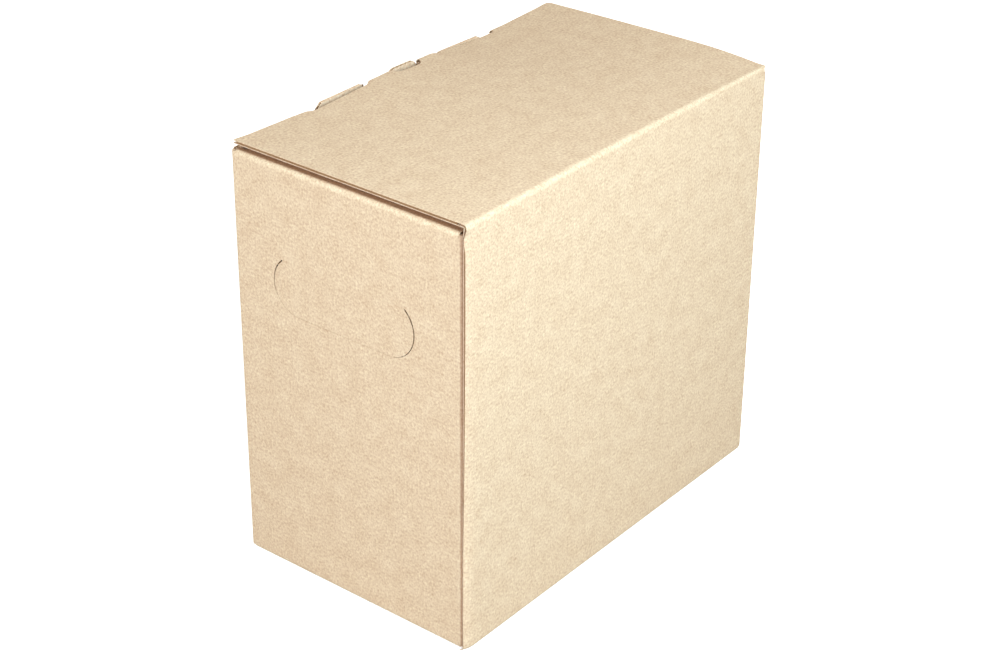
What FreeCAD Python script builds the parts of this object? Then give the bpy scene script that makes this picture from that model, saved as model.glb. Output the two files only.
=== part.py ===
import FreeCAD, Part
import os
import re
import Sketcher

# Bag-in-box: a corrugated carton with a hinged tuck lid, two hand-hole flaps, and inside it a sealed
# film bag of drink with a push tap that waits behind a tear-out door.
# Millimetres. +Z is up, +Y runs along the carton's length to the tap end, and the lid is hinged on +X.
# The origin is the middle of the carton's underside.

SIZES = [
    # name, value, meaning
    ("carton_width", 162.0, "outside, across the two large walls"),
    ("carton_length", 272.0, "outside, between the two narrow end walls"),
    ("carton_height", 260.0, "underside to the top face of the lid"),
    ("board", 2.0, "thickness of the corrugated board"),
    ("fold_radius", 3.0, "outside radius of every fold in the board"),
    ("end_wall_drop", 5.5, "end walls' top folds below the lid's top face"),
    ("raw_edge_step", 0.3, "lid wall's raw edge behind the front face"),
    ("glue_flap_length", 37.0, "front wall's glued flap, from the front face"),
    ("joint_mouth", 25.0, "degrees of the joint's fold hidden in its groove"),
    ("corner_slot", 3.0, "slots at the carton's corners, between two flaps"),
    ("corner_rise", 2.2, "carton's rounded corners run this far into the slots"),
    ("dust_flap_length", 81.0, "dust flaps under the lid, from the end face"),
    ("dust_flap_gap", 3.4, "dust flaps' free ends below the lid"),
    ("dust_flap_side_gap", 1.2, "dust flaps' sides from the walls beside them"),
    ("dust_flap_relief", 5.5, "dust flaps cut back where the tuck flap goes down"),
    ("relief_lead", 1.0, "that cut starts before the tuck flap's end"),
    ("dust_flap_corner", 12.0, "radius of the dust flaps' free corners"),
    ("end_bottom_flap_length", 84.0, "inner bottom flaps, from the end face"),
    ("bottom_meeting_gap", 1.0, "between the two outer bottom flaps"),
    ("bottom_fold_rise", 9.0, "run over which the inner bottom flaps climb onto the outer ones"),
    ("bottom_flap_set_back", 10.0, "outer bottom flaps' raw ends behind the end faces"),
    ("tab_top_drop", 3.1, "locking tabs' tops below the lid's top face"),
    ("tab_near_end", 32.0, "locking tabs' inner ends from the carton's middle"),
    ("tab_far_end", 70.0, "locking tabs' outer ends from the carton's middle"),
    ("tab_slant", 4.0, "run of a locking tab's slanted outer end"),
    ("tab_near_slant", 1.0, "run of its steeper inner end"),
    ("tongue_width", 22.0, "rounded tongue in the middle of the lock wall"),
    ("tongue_drop", 1.3, "tongue's top below the lid's top face"),
    ("tongue_corner", 4.0, "radius of the tongue's top corners"),
    ("tongue_offset", 1.0, "tongue's middle from the carton's middle"),
    ("hand_hole_width", 98.0, "between the hand hole's rounded ends"),
    ("hand_hole_height", 35.0, "height of the hand hole's full oval"),
    ("hand_hole_drop", 74.0, "hand holes' middle below the lid's top face"),
    ("hand_hole_shift", -3.0, "hand holes' middle from the carton's middle"),
    ("crease_angle", 50.0, "degrees above level where the cut meets the crease"),
    ("cut_gap", 0.5, "width of the cut round a hand-hole flap"),
    ("crease_gap", 0.15, "flap's crease below the wall above it"),
    ("hinge_slit", 6.0, "degrees left open at the middle of the lid's fold"),
    ("door_width", 64.0, "tear-out tap door"),
    ("door_height", 66.0, "tear-out tap door"),
    ("perforation_width", 0.8, "width of a perforation cut"),
    ("perforation_length", 9.0, "length of a perforation cut"),
    ("perforation_pitch", 12.5, "from one perforation cut to the next"),
    ("lid_side_gap", 0.3, "lid's tuck fold from the lock wall"),
    ("lid_end_set_back", 1.0, "lid's raw ends behind the carton's end faces"),
    ("tuck_fold_radius", 2.3, "outside radius of the tuck flap's sharper fold"),
    ("tuck_depth", 27.0, "tuck flap below the lid's top face"),
    ("tuck_lean", 3.0, "tuck flap's lower edge further in than its fold"),
    ("tuck_end_gap", 3.5, "tuck flap's ends from the end walls' inner faces"),
    ("tuck_corner", 12.0, "radius of the tuck flap's lower corners"),
    ("slot_offset", -2.9, "middle between the two lock slots from the carton's middle"),
    ("slot_near_end", 24.9, "lock slots' inner ends from that middle"),
    ("slot_far_end", 79.6, "lock slots' outer ends from that middle"),
    ("slot_near_slant", 6.3, "run of a lock slot's slanted inner end"),
    ("slot_far_slant", 5.2, "run of its slanted outer end"),
    ("slot_depth", 3.8, "lock slots' cut in from the locking tabs"),
    ("slot_reach", 7.0, "lock slots and thumb notch down the tuck flap"),
    ("thumb_notch_side", 1.5, "thumb notch wider than the tongue, at each end"),
    ("thumb_notch_depth", 7.4, "thumb notch cut in from the tongue"),
    ("thumb_notch_corner", 5.5, "radius of the thumb notch's corners"),
    ("soft_gap", 0.3, "bag from the board round it"),
    ("bag_headroom", 14.0, "top of the filled bag below the lid's top face"),
    ("bag_side_radius", 26.0, "bag's upright edges"),
    ("bag_top_radius", 26.0, "bag's upper edges"),
    ("bag_foot_chamfer", 7.0, "bag's lower edges"),
    ("finger_room", 1.5, "hollow in the bag beyond the hand-hole flaps"),
    ("tap_height", 43.0, "tap's axis above the carton's underside"),
    ("tap_room_radius", 33.0, "round hollow in the bag that holds the tap"),
    ("tap_room_depth", 53.0, "the same hollow, from the end wall's inner face"),
    ("weld_flange_radius", 26.0, "gland's flange, welded to the film"),
    ("weld_flange_thickness", 1.6, "gland's flange"),
    ("neck_length", 16.0, "gland's neck, from the weld"),
    ("neck_radius", 15.0, "gland's neck, outside"),
    ("neck_bore_radius", 12.5, "gland's neck, inside"),
    ("grip_ring_radius", 18.5, "ring that holds the neck for filling"),
    ("grip_ring_thickness", 2.0, "the same ring"),
    ("grip_ring_start", 5.5, "the same ring, from the weld"),
    ("plug_gap", 0.05, "tap's plug in the gland's bore"),
    ("plug_start", 4.0, "tap's plug, from the weld"),
    ("plug_wall", 2.6, "tap's plug"),
    ("collar_radius", 18.5, "tap's collar against the neck"),
    ("collar_thickness", 2.4, "tap's collar"),
    ("barrel_radius", 12.0, "tap's barrel, outside"),
    ("barrel_wall", 1.8, "tap's walls"),
    ("barrel_length", 19.0, "tap's barrel, from the collar"),
    ("seat_bore_radius", 5.5, "hole that the valve closes"),
    ("guide_thickness", 3.0, "barrel's front wall, which guides the stem"),
    ("spout_radius", 8.0, "downward spout, outside"),
    ("spout_drop", 28.0, "spout's mouth below the tap's axis"),
    ("spout_start", 1.0, "spout from the collar"),
    ("bore_end", 6.0, "upper end of the spout's bore below the tap's axis"),
    ("wing_span", 54.0, "finger wings, tip to tip"),
    ("wing_height", 13.0, "finger wings"),
    ("wing_thickness", 3.0, "finger wings"),
    ("wing_set_back", 2.0, "finger wings behind the barrel's front"),
    ("wing_tip_radius", 6.0, "finger wings' corners"),
    ("stem_radius", 2.4, "valve stem"),
    ("stem_gap", 0.08, "valve stem in its guide"),
    ("valve_head_radius", 8.0, "valve stem's head"),
    ("valve_head_thickness", 2.0, "valve stem's head"),
    ("washer_thickness", 1.2, "rubber washer between head and seat"),
    ("washer_gap", 0.05, "washer from the seat when shut"),
    ("button_radius", 10.0, "push button"),
    ("button_wall", 1.6, "push button"),
    ("button_depth", 8.0, "push button's skirt"),
    ("button_travel", 4.5, "push button, from shut to full flow"),
    ("button_front_gap", 2.2, "push button's face from the end wall"),
    ("sleeve_radius", 5.5, "rubber sleeve behind the button, outside"),
    ("sleeve_wall", 0.9, "the same sleeve"),
    ("sleeve_foot_radius", 8.0, "sleeve's foot on the barrel's front"),
    ("sleeve_foot_thickness", 0.8, "sleeve's foot"),
    ("sleeve_gap", 0.04, "sleeve's ends from the barrel and the button"),
    ("overrun", 1.0, "cuts run this far past what they cut away"),
]

# Sizes that follow from the ones above, as spreadsheet formulas.
DERIVED = [
    ("half_width", "carton_width / 2"),
    ("half_length", "carton_length / 2"),
    ("inner_radius", "fold_radius - board"),
    ("end_wall_top", "carton_height - end_wall_drop"),
    ("wall_foot", "board + fold_radius"),
    ("wall_head", "end_wall_top - fold_radius"),
    ("wall_fold_end", "45 - hinge_slit / 2"),
    ("lid_fold_start", "45 + hinge_slit / 2"),
    ("fold_centre_x", "half_width - fold_radius"),
    ("fold_centre_z", "carton_height - fold_radius"),
    ("lid_underside", "carton_height - board"),
    ("lid_edge_x", "-half_width + board + lid_side_gap"),
    ("tab_top", "carton_height - tab_top_drop"),
    ("hand_hole_z", "carton_height - hand_hole_drop"),
    ("hand_hole_radius", "hand_hole_height / 2"),
    ("hand_hole_straight", "hand_hole_width / 2 - hand_hole_radius"),
    ("crease_z", "hand_hole_z + hand_hole_radius * sin(crease_angle)"),
    ("bag_top", "carton_height - bag_headroom"),
    ("bag_half_width", "half_width - 2 * board - soft_gap"),
    ("bag_half_length", "half_length - board - soft_gap"),
    ("bag_foot", "2 * board + soft_gap"),
    ("weld_y", "half_length - board - tap_room_depth"),
    ("plug_radius", "neck_bore_radius - plug_gap"),
    ("collar_start", "neck_length"),
    ("barrel_start", "collar_start + collar_thickness"),
    ("barrel_end", "barrel_start + barrel_length"),
    ("seat_z", "plug_start + valve_head_thickness + washer_thickness + button_travel"),
    ("head_z", "seat_z - washer_gap - washer_thickness - valve_head_thickness"),
    ("button_face", "tap_room_depth - button_front_gap"),
    ("button_back", "button_face - button_depth"),
    ("spout_z", "barrel_start + spout_radius + spout_start"),
]


def fill_sheet(document):
    sheet = document.addObject("Spreadsheet::Sheet", "sizes")
    row = 1
    for name, value, meaning in SIZES:
        sheet.set("A%d" % row, name)
        sheet.set("B%d" % row, str(value))
        sheet.set("C%d" % row, meaning)
        sheet.setAlias("B%d" % row, name)
        row += 1
    for name, formula in DERIVED:
        sheet.set("A%d" % row, name)
        sheet.set("B%d" % row, "=" + formula)
        sheet.setAlias("B%d" % row, name)
        row += 1
    document.recompute()
    return sheet


doc = FreeCAD.newDocument("bag_in_box")
sizes = fill_sheet(doc)
ALIASES = set(entry[0] for entry in SIZES + DERIVED)


def qualified(formula):
    """The formula with every size's name pointing into the spreadsheet."""
    return re.sub(r"[a-z_]+", lambda m: "sizes." + m[0] if m[0] in ALIASES else m[0], formula)


def value(formula):
    """What a formula of sizes comes to now."""
    return float(sizes.evalExpression(qualified(formula)))


def bind(thing, property_name, formula):
    thing.setExpression(property_name, qualified(formula))


# ---------------------------------------------------------------- sketches and features

def new_body(label):
    body = doc.addObject("PartDesign::Body", label)
    body.Label = label
    return body


def new_sketch(body, plane, offset="0"):
    """A sketch on one of the body's own origin planes, moved along its normal by offset."""
    sketch = body.newObject("Sketcher::SketchObject", body.Name + "_sketch")
    support = [f for f in body.Origin.OriginFeatures if f.Role == plane][0]
    sketch.AttachmentSupport = [(support, "")]
    sketch.MapMode = "FlatFace"
    bind(sketch, "AttachmentOffset.Base.z", offset)
    return sketch


def pin(sketch, kind, geometry, point, formula):
    """Hold one coordinate of a sketch point at a formula of sizes."""
    number = sketch.addConstraint(Sketcher.Constraint(kind, -1, 1, geometry, point, value(formula)))
    bind(sketch, "Constraints[%d]" % number, formula)


def arc_end_coordinate(centre, end):
    """The coordinate that tells best where an arc ends on its circle."""
    run = abs(value(end[0]) - value(centre[0]))
    rise = abs(value(end[1]) - value(centre[1]))
    return 0 if rise > run else 1


def outline(sketch, corners):
    """A closed outline. A corner is (x, y), or (x, y, centre x, centre y, turn) where an arc starts,
    with turn 1 for anticlockwise and -1 for clockwise."""
    first = sketch.GeometryCount
    count = len(corners)
    for i in range(count):
        here, there = corners[i], corners[(i + 1) % count]
        start = FreeCAD.Vector(value(here[0]), value(here[1]), 0)
        end = FreeCAD.Vector(value(there[0]), value(there[1]), 0)
        if len(here) == 2:
            sketch.addGeometry(Part.LineSegment(start, end))
            continue
        centre = FreeCAD.Vector(value(here[2]), value(here[3]), 0)
        if here[4] < 0:
            start, end = end, start
        circle = Part.Circle(centre, FreeCAD.Vector(0, 0, 1), (start - centre).Length)
        sketch.addGeometry(Part.ArcOfCircle(circle, circle.parameter(start), circle.parameter(end)))

    def ends(i):
        """Point numbers of an edge's start and end: a clockwise arc is stored backwards."""
        return (2, 1) if len(corners[i]) > 2 and corners[i][4] < 0 else (1, 2)

    for i in range(count):
        follower = (i + 1) % count
        sketch.addConstraint(Sketcher.Constraint(
            "Coincident", first + i, ends(i)[1], first + follower, ends(follower)[0]))
    for i in range(count):
        here, before = corners[i], corners[i - 1]
        kinds = ["DistanceX", "DistanceY"]
        wanted = [0, 1]
        if len(before) > 2:
            wanted = [arc_end_coordinate(before[2:4], here)]
        for axis in wanted:
            pin(sketch, kinds[axis], first + i, ends(i)[0], here[axis])
        if len(here) > 2:
            pin(sketch, "DistanceX", first + i, 3, here[2])
            pin(sketch, "DistanceY", first + i, 3, here[3])


def rectangle(sketch, left, right, bottom, top):
    outline(sketch, [(left, bottom), (right, bottom), (right, top), (left, top)])


def circle(sketch, x, y, radius):
    number = sketch.addGeometry(Part.Circle(
        FreeCAD.Vector(value(x), value(y), 0), FreeCAD.Vector(0, 0, 1), value(radius)))
    pin(sketch, "DistanceX", number, 3, x)
    pin(sketch, "DistanceY", number, 3, y)
    constraint = sketch.addConstraint(Sketcher.Constraint("Radius", number, value(radius)))
    bind(sketch, "Constraints[%d]" % constraint, radius)


def finished(body, feature):
    doc.recompute()
    if "Invalid" in feature.State or feature.Shape.isNull():
        raise RuntimeError("%s fails: %s" % (feature.Name, feature.getStatusString()))
    body.Tip = feature
    return feature


def pad(body, sketch, length):
    """Adds the sketch's outline, along its plane's normal."""
    feature = body.newObject("PartDesign::Pad", body.Name + "_pad")
    feature.Profile = sketch
    bind(feature, "Length", length)
    return finished(body, feature)


def pocket(body, sketch, length):
    """Cuts the sketch's outline away, along its plane's normal."""
    feature = body.newObject("PartDesign::Pocket", body.Name + "_pocket")
    feature.Profile = sketch
    feature.Reversed = True
    bind(feature, "Length", length)
    before = feature.BaseFeature.Shape.Volume
    finished(body, feature)
    if feature.Shape.Volume > before - 1e-6:
        raise RuntimeError("%s cuts nothing" % feature.Name)
    return feature


def revolve(body, sketch):
    """Turns the sketch's outline round the plane's upright axis."""
    feature = body.newObject("PartDesign::Revolution", body.Name + "_revolution")
    feature.Profile = sketch
    feature.ReferenceAxis = (sketch, ["V_Axis"])
    feature.Angle = 360.0
    return finished(body, feature)


def dress(body, kind, size_name, size, chosen):
    """Finishes the edges of the body's last shape that the test chosen picks."""
    base = body.Tip
    names = ["Edge%d" % (i + 1) for i, edge in enumerate(base.Shape.Edges) if chosen(edge)]
    if not names:
        raise RuntimeError("%s has no such edge" % body.Name)
    feature = body.newObject("PartDesign::" + kind, "%s_%s" % (body.Name, kind.lower()))
    feature.Base = (base, names)
    bind(feature, size_name, size)
    return finished(body, feature)


def fillet(body, radius, chosen):
    return dress(body, "Fillet", "Radius", radius, chosen)


def chamfer(body, size, chosen):
    return dress(body, "Chamfer", "Size", size, chosen)


def runs_along(edge, axis):
    """True where an edge is straight and parallel to axis 0, 1 or 2."""
    if not isinstance(edge.Curve, Part.Line):
        return False
    return abs(abs(edge.Curve.Direction[axis]) - 1) < 1e-6


def passes(edge, places, axes):
    """True where the edge's middle has the coordinates of one of the places, on those two axes."""
    middle = edge.CenterOfMass
    return any(abs(middle[axes[0]] - value(a)) + abs(middle[axes[1]] - value(b)) < 1e-4
               for a, b in places)


# ---------------------------------------------------------------- carton

def wall_tube(body):
    """Four walls in one ring, with the front wall's glue flap behind the lid wall."""
    sketch = new_sketch(body, "XY_Plane", "wall_foot")
    joint_x = "half_width - board"
    fold_x = "half_width - board - fold_radius"
    fold_y = "-half_length + fold_radius"
    mouth_x = fold_x + " + fold_radius * cos(joint_mouth)"
    mouth_y = fold_y + " - fold_radius * sin(joint_mouth)"
    outline(sketch, [
        ("-half_width", "-half_length"),
        (fold_x, "-half_length", fold_x, fold_y, 1),
        (mouth_x, mouth_y),
        (joint_x, mouth_y),
        (joint_x, "-half_length + raw_edge_step"),
        ("half_width", "-half_length + raw_edge_step"),
        ("half_width", "half_length"),
        ("-half_width", "half_length"),
    ])
    glue_x = "half_width - 2 * board"
    outline(sketch, [
        ("-half_width + board", "-half_length + board"),
        (glue_x, "-half_length + board"),
        (glue_x, "-half_length + glue_flap_length"),
        (joint_x, "-half_length + glue_flap_length"),
        (joint_x, "half_length - board"),
        ("-half_width + board", "half_length - board"),
    ])
    pad(body, sketch, "wall_head - wall_foot")
    outside = [("-half_width", "-half_length"), ("half_width", "half_length"),
               ("-half_width", "half_length")]
    inside = [("-half_width + board", "-half_length + board"), (glue_x, "-half_length + board"),
              (joint_x, "half_length - board"), ("-half_width + board", "half_length - board")]
    fillet(body, "fold_radius", lambda e: runs_along(e, 2) and passes(e, outside, (0, 1)))
    fillet(body, "inner_radius", lambda e: runs_along(e, 2) and passes(e, inside, (0, 1)))


def corner_posts(body, level):
    """Carries the carton's four rounded corners a little into the slots between the flaps."""
    sketch = new_sketch(body, "XY_Plane", level)
    joint_x = "half_width - board"
    fold_x = "half_width - board - fold_radius"
    glue_x = "half_width - 2 * board"
    front_y = "-half_length + fold_radius"
    back_y = "half_length - fold_radius"
    left_x = "-half_width + fold_radius"
    right_x = "half_width - fold_radius"
    mouth_x = fold_x + " + fold_radius * cos(joint_mouth)"
    mouth_y = front_y + " - fold_radius * sin(joint_mouth)"
    outline(sketch, [
        (fold_x, "-half_length", fold_x, front_y, 1),
        (mouth_x, mouth_y),
        (joint_x, mouth_y),
        (joint_x, front_y),
        (glue_x, front_y, fold_x, front_y, -1),
        (fold_x, "-half_length + board"),
    ])
    outline(sketch, [
        ("half_width", back_y, right_x, back_y, 1),
        (right_x, "half_length"),
        (right_x, "half_length - board", right_x, back_y, -1),
        (joint_x, back_y),
    ])
    outline(sketch, [
        (left_x, "half_length", left_x, back_y, 1),
        ("-half_width", back_y),
        ("-half_width + board", back_y, left_x, back_y, -1),
        (left_x, "half_length - board"),
    ])
    outline(sketch, [
        ("-half_width", front_y, left_x, front_y, 1),
        (left_x, "-half_length"),
        (left_x, "-half_length + board", left_x, front_y, -1),
        ("-half_width + board", front_y),
    ])
    pad(body, sketch, "corner_rise")


def end_flaps(body, side):
    """Dust flap and inner bottom flap of one end wall; side is "-" at the front and "" at the back."""
    inward = "+" if side == "-" else "-"
    face = side + "half_length"
    lining = "%s %s board" % (face, inward)
    left = "-half_width + board + dust_flap_side_gap"
    right = "half_width - 2 * board - dust_flap_side_gap"

    top = new_sketch(body, "YZ_Plane", left)
    tip = "%s %s dust_flap_length" % (face, inward)
    tip_top = "lid_underside - dust_flap_gap"
    outline(top, [(face, "wall_head"), (face, "end_wall_top"), (tip, tip_top), (tip, tip_top + " - board"),
                  (lining, "end_wall_top - board"), (lining, "wall_head")])
    pad(body, top, "(%s) - (%s)" % (right, left))
    fillet(body, "fold_radius", lambda e: runs_along(e, 0) and passes(e, [(face, "end_wall_top")], (1, 2)))
    fillet(body, "inner_radius",
           lambda e: runs_along(e, 0) and passes(e, [(lining, "end_wall_top - board")], (1, 2)))

    relief = new_sketch(body, "XY_Plane", "wall_head")
    start = "%s %s (board + tuck_end_gap - relief_lead)" % (face, inward)
    inner_edge = "-half_width + board + dust_flap_relief"
    outline(relief, [(left + " - overrun", start), (inner_edge, start),
                     (inner_edge + " + dust_flap_corner", tip), (left + " - overrun", tip)])
    pocket(body, relief, "carton_height - wall_head")

    foot = new_sketch(body, "YZ_Plane", left)
    end = "%s %s end_bottom_flap_length" % (face, inward)
    rise = "%s %s bottom_fold_rise" % (face, inward)
    outline(foot, [(face, "wall_foot"), (face, "0"), (rise, "board"), (end, "board"), (end, "2 * board"),
                   (lining, "2 * board"), (lining, "wall_foot")])
    pad(body, foot, "(%s) - (%s)" % (right, left))
    fillet(body, "fold_radius", lambda e: runs_along(e, 0) and passes(e, [(face, "0")], (1, 2)))
    fillet(body, "inner_radius",
           lambda e: runs_along(e, 0) and passes(e, [(lining, "2 * board")], (1, 2)))


def outer_bottom_flap(body, side):
    """Outer bottom flap of one large wall; side is "-" on the lock wall and "" on the lid wall."""
    inward = "+" if side == "-" else "-"
    face = side + "half_width"
    lining = "%s %s board" % (face, inward)
    bend = "%s %s fold_radius" % (face, inward)
    middle = side + "bottom_meeting_gap / 2"
    turn = 1 if side == "-" else -1
    front_end = "corner_slot" if side == "-" else "raw_edge_step"
    fold = new_sketch(body, "XZ_Plane", "-half_length + corner_slot")
    outline(fold, [
        (face, "wall_foot"),
        (face, "fold_radius", bend, "fold_radius", turn),
        (bend, "0"),
        (bend, "board", bend, "fold_radius", -turn),
        (lining, "fold_radius"),
        (lining, "wall_foot"),
    ])
    pad(body, fold, "carton_length - corner_slot - " + front_end)
    flap = new_sketch(body, "XZ_Plane", "-half_length + bottom_flap_set_back")
    outline(flap, [(bend, "0"), (middle, "0"), (middle, "board"), (bend, "board")])
    pad(body, flap, "carton_length - 2 * bottom_flap_set_back")


def lock_wall_edge(body):
    """Upper edge of the wall facing the lid's tuck flap: two locking tabs and a rounded tongue."""
    sketch = new_sketch(body, "YZ_Plane", "-half_width")
    top = "carton_height - tongue_drop"
    tongue_start = "tongue_offset - tongue_width / 2"
    tongue_end = "tongue_offset + tongue_width / 2"
    outline(sketch, [
        ("-half_length + corner_slot", "wall_head"),
        ("-half_length + corner_slot", "end_wall_top"),
        ("-tab_far_end", "end_wall_top"),
        ("-tab_far_end + tab_slant", "tab_top"),
        ("-tab_near_end - tab_near_slant", "tab_top"),
        ("-tab_near_end", "end_wall_top"),
        (tongue_start, "end_wall_top"),
        (tongue_start, top),
        (tongue_end, top),
        (tongue_end, "end_wall_top"),
        ("tab_near_end", "end_wall_top"),
        ("tab_near_end + tab_near_slant", "tab_top"),
        ("tab_far_end - tab_slant", "tab_top"),
        ("tab_far_end", "end_wall_top"),
        ("half_length - corner_slot", "end_wall_top"),
        ("half_length - corner_slot", "wall_head"),
    ])
    pad(body, sketch, "board")
    corners = [(tongue_start, top), (tongue_end, top)]
    fillet(body, "tongue_corner", lambda e: runs_along(e, 0) and passes(e, corners, (1, 2)))


def fold_point(radius, angle):
    """A point of the lid's fold, at a radius and an angle up from level."""
    return ("fold_centre_x + %s * cos(%s)" % (radius, angle),
            "fold_centre_z + %s * sin(%s)" % (radius, angle))


def lid_wall_edge(body):
    """Upper edge of the wall that carries the lid: its half of the rounded fold, up to the crease."""
    sketch = new_sketch(body, "XZ_Plane", "-half_length + corner_slot")
    centre = ("fold_centre_x", "fold_centre_z")
    outer = fold_point("fold_radius", "wall_fold_end")
    inner = fold_point("inner_radius", "wall_fold_end")
    outline(sketch, [
        ("half_width - board", "wall_head"),
        ("half_width", "wall_head"),
        ("half_width", "fold_centre_z") + centre + (1,),
        outer,
        inner + centre + (-1,),
        ("half_width - board", "fold_centre_z"),
    ])
    pad(body, sketch, "carton_length - raw_edge_step - corner_slot")


def hand_hole_outline(sketch, gap, above="0"):
    """The hand hole's cut: rounded ends and a straight lower edge, closed by the crease or, where
    above isn't zero, by a level line that much above it."""
    radius = "(hand_hole_radius + %s)" % gap
    height = "hand_hole_z + %s * sin(crease_angle)" % radius
    left = "hand_hole_shift - hand_hole_straight"
    right = "hand_hole_shift + hand_hole_straight"
    left_end = "%s - %s * cos(crease_angle)" % (left, radius)
    right_end = "%s + %s * cos(crease_angle)" % (right, radius)
    corners = [
        (left, "hand_hole_z - " + radius),
        (right, "hand_hole_z - " + radius, right, "hand_hole_z", 1),
        (right_end, height),
        (left_end, height, left, "hand_hole_z", 1),
    ]
    if above != "0":
        level = "crease_z + " + above
        corners[3:3] = [(right_end, level), (left_end, level)]
    outline(sketch, corners)


def hand_hole(body, offset):
    sketch = new_sketch(body, "XZ_Plane", offset)
    hand_hole_outline(sketch, "cut_gap", "(cut_gap + crease_gap)")
    pocket(body, sketch, "board")


def tap_door_cuts(body):
    """Perforation cuts round the tear-out door in the back wall: two uprights, a level top and foot."""
    half = "door_width / 2"
    thin = "perforation_width / 2"
    long_half = "perforation_length / 2"
    low = "tap_height - door_height / 2"
    high = "tap_height + door_height / 2"
    steps = int(value("door_height / perforation_pitch"))
    sketch = new_sketch(body, "XZ_Plane", "-half_length")
    for i in range(steps):
        middle = "%s + (%d + 0.5) * door_height / %d" % (low, i, steps)
        for side in ("-", ""):
            x = side + half
            rectangle(sketch, "%s - %s" % (x, thin), "%s + %s" % (x, thin),
                      "%s - %s" % (middle, long_half), "%s + %s" % (middle, long_half))
    across = int(value("door_width / perforation_pitch"))
    for i in range(across):
        middle = "-%s + (%d + 0.5) * door_width / %d" % (half, i, across)
        for z in (low, high):
            rectangle(sketch, "%s - %s" % (middle, long_half), "%s + %s" % (middle, long_half),
                      "%s - %s" % (z, thin), "%s + %s" % (z, thin))
    pocket(body, sketch, "board")


def make_carton():
    body = new_body("carton")
    wall_tube(body)
    corner_posts(body, "wall_head")
    corner_posts(body, "wall_foot - corner_rise")
    end_flaps(body, "-")
    end_flaps(body, "")
    outer_bottom_flap(body, "-")
    outer_bottom_flap(body, "")
    lock_wall_edge(body)
    lid_wall_edge(body)
    hand_hole(body, "half_length - board")
    hand_hole(body, "-half_length")
    tap_door_cuts(body)
    return body


# ---------------------------------------------------------------- lid and hand-hole flaps

def make_lid():
    """Lid panel with its half of the hinge fold, and the tuck flap folded down at its free edge."""
    body = new_body("lid")
    centre = ("fold_centre_x", "fold_centre_z")
    outer = fold_point("fold_radius", "lid_fold_start")
    inner = fold_point("inner_radius", "lid_fold_start")
    sketch = new_sketch(body, "XZ_Plane", "-half_length + lid_end_set_back")
    outline(sketch, [
        outer + centre + (1,),
        ("fold_centre_x", "carton_height"),
        ("lid_edge_x", "carton_height"),
        ("lid_edge_x + tuck_lean", "carton_height - tuck_depth"),
        ("lid_edge_x + tuck_lean + board", "carton_height - tuck_depth"),
        ("lid_edge_x + board", "lid_underside"),
        ("fold_centre_x", "lid_underside") + centre + (-1,),
        inner,
    ])
    pad(body, sketch, "carton_length - 2 * lid_end_set_back")
    fillet(body, "tuck_fold_radius",
           lambda e: runs_along(e, 1) and passes(e, [("lid_edge_x", "carton_height")], (0, 2)))
    fillet(body, "tuck_fold_radius - board",
           lambda e: runs_along(e, 1) and passes(e, [("lid_edge_x + board", "lid_underside")], (0, 2)))
    for side in ("-", ""):
        tuck_end_cut(body, side)
        lock_slot(body, side)
    thumb_notch(body)
    return body


def tuck_end_cut(body, side):
    """Shortens the tuck flap so that its end clears the end wall, with a rounded lower corner."""
    outward = "-" if side == "-" else "+"
    inward = "+" if side == "-" else "-"
    end = "%s(half_length - board - tuck_end_gap)" % side
    foot = "carton_height - tuck_depth"
    beyond = "%shalf_length %s overrun" % (side, outward)
    bend = "%s %s tuck_corner" % (end, inward)
    turn = 1 if side == "-" else -1
    sketch = new_sketch(body, "YZ_Plane", "-half_width")
    outline(sketch, [
        (beyond, "lid_underside"),
        (beyond, foot + " - overrun"),
        (bend, foot + " - overrun"),
        (bend, foot, bend, foot + " + tuck_corner", -turn),
        (end, foot + " + tuck_corner"),
        (end, "lid_underside"),
    ])
    pocket(body, sketch, "2 * board + lid_side_gap + tuck_lean + overrun")


def lock_slot(body, side):
    """Slot across the tuck fold beside a locking tab, with slanted ends."""
    away = "-" if side == "-" else "+"
    near = "slot_offset %s slot_near_end" % away
    inner = "slot_offset %s (slot_near_end + slot_near_slant)" % away
    far = "slot_offset %s slot_far_end" % away
    slant = "slot_offset %s (slot_far_end - slot_far_slant)" % away
    edge = "-half_width + board + slot_depth"
    sketch = new_sketch(body, "XY_Plane", "carton_height - slot_reach")
    outline(sketch, [("-half_width", near), ("lid_edge_x", near), (edge, inner), (edge, slant),
                     ("lid_edge_x", far), ("-half_width", far)])
    pocket(body, sketch, "slot_reach + overrun")


def thumb_notch(body):
    """Round-cornered notch at the middle of the lid's free edge, where the tongue stands."""
    half = "(tongue_width / 2 + thumb_notch_side)"
    edge = "-half_width + board + thumb_notch_depth"
    start = "tongue_offset - " + half
    end = "tongue_offset + " + half
    bend = edge + " - thumb_notch_corner"
    sketch = new_sketch(body, "XY_Plane", "carton_height - slot_reach")
    outline(sketch, [
        ("-half_width", start),
        (bend, start, bend, start + " + thumb_notch_corner", 1),
        (edge, start + " + thumb_notch_corner"),
        (edge, end + " - thumb_notch_corner", bend, end + " - thumb_notch_corner", 1),
        (bend, end),
        ("-half_width", end),
    ])
    pocket(body, sketch, "slot_reach + overrun")


def make_hand_hole_flap(label, offset):
    body = new_body(label)
    sketch = new_sketch(body, "XZ_Plane", offset)
    hand_hole_outline(sketch, "0")
    pad(body, sketch, "board")
    return body


# ---------------------------------------------------------------- bag

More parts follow.
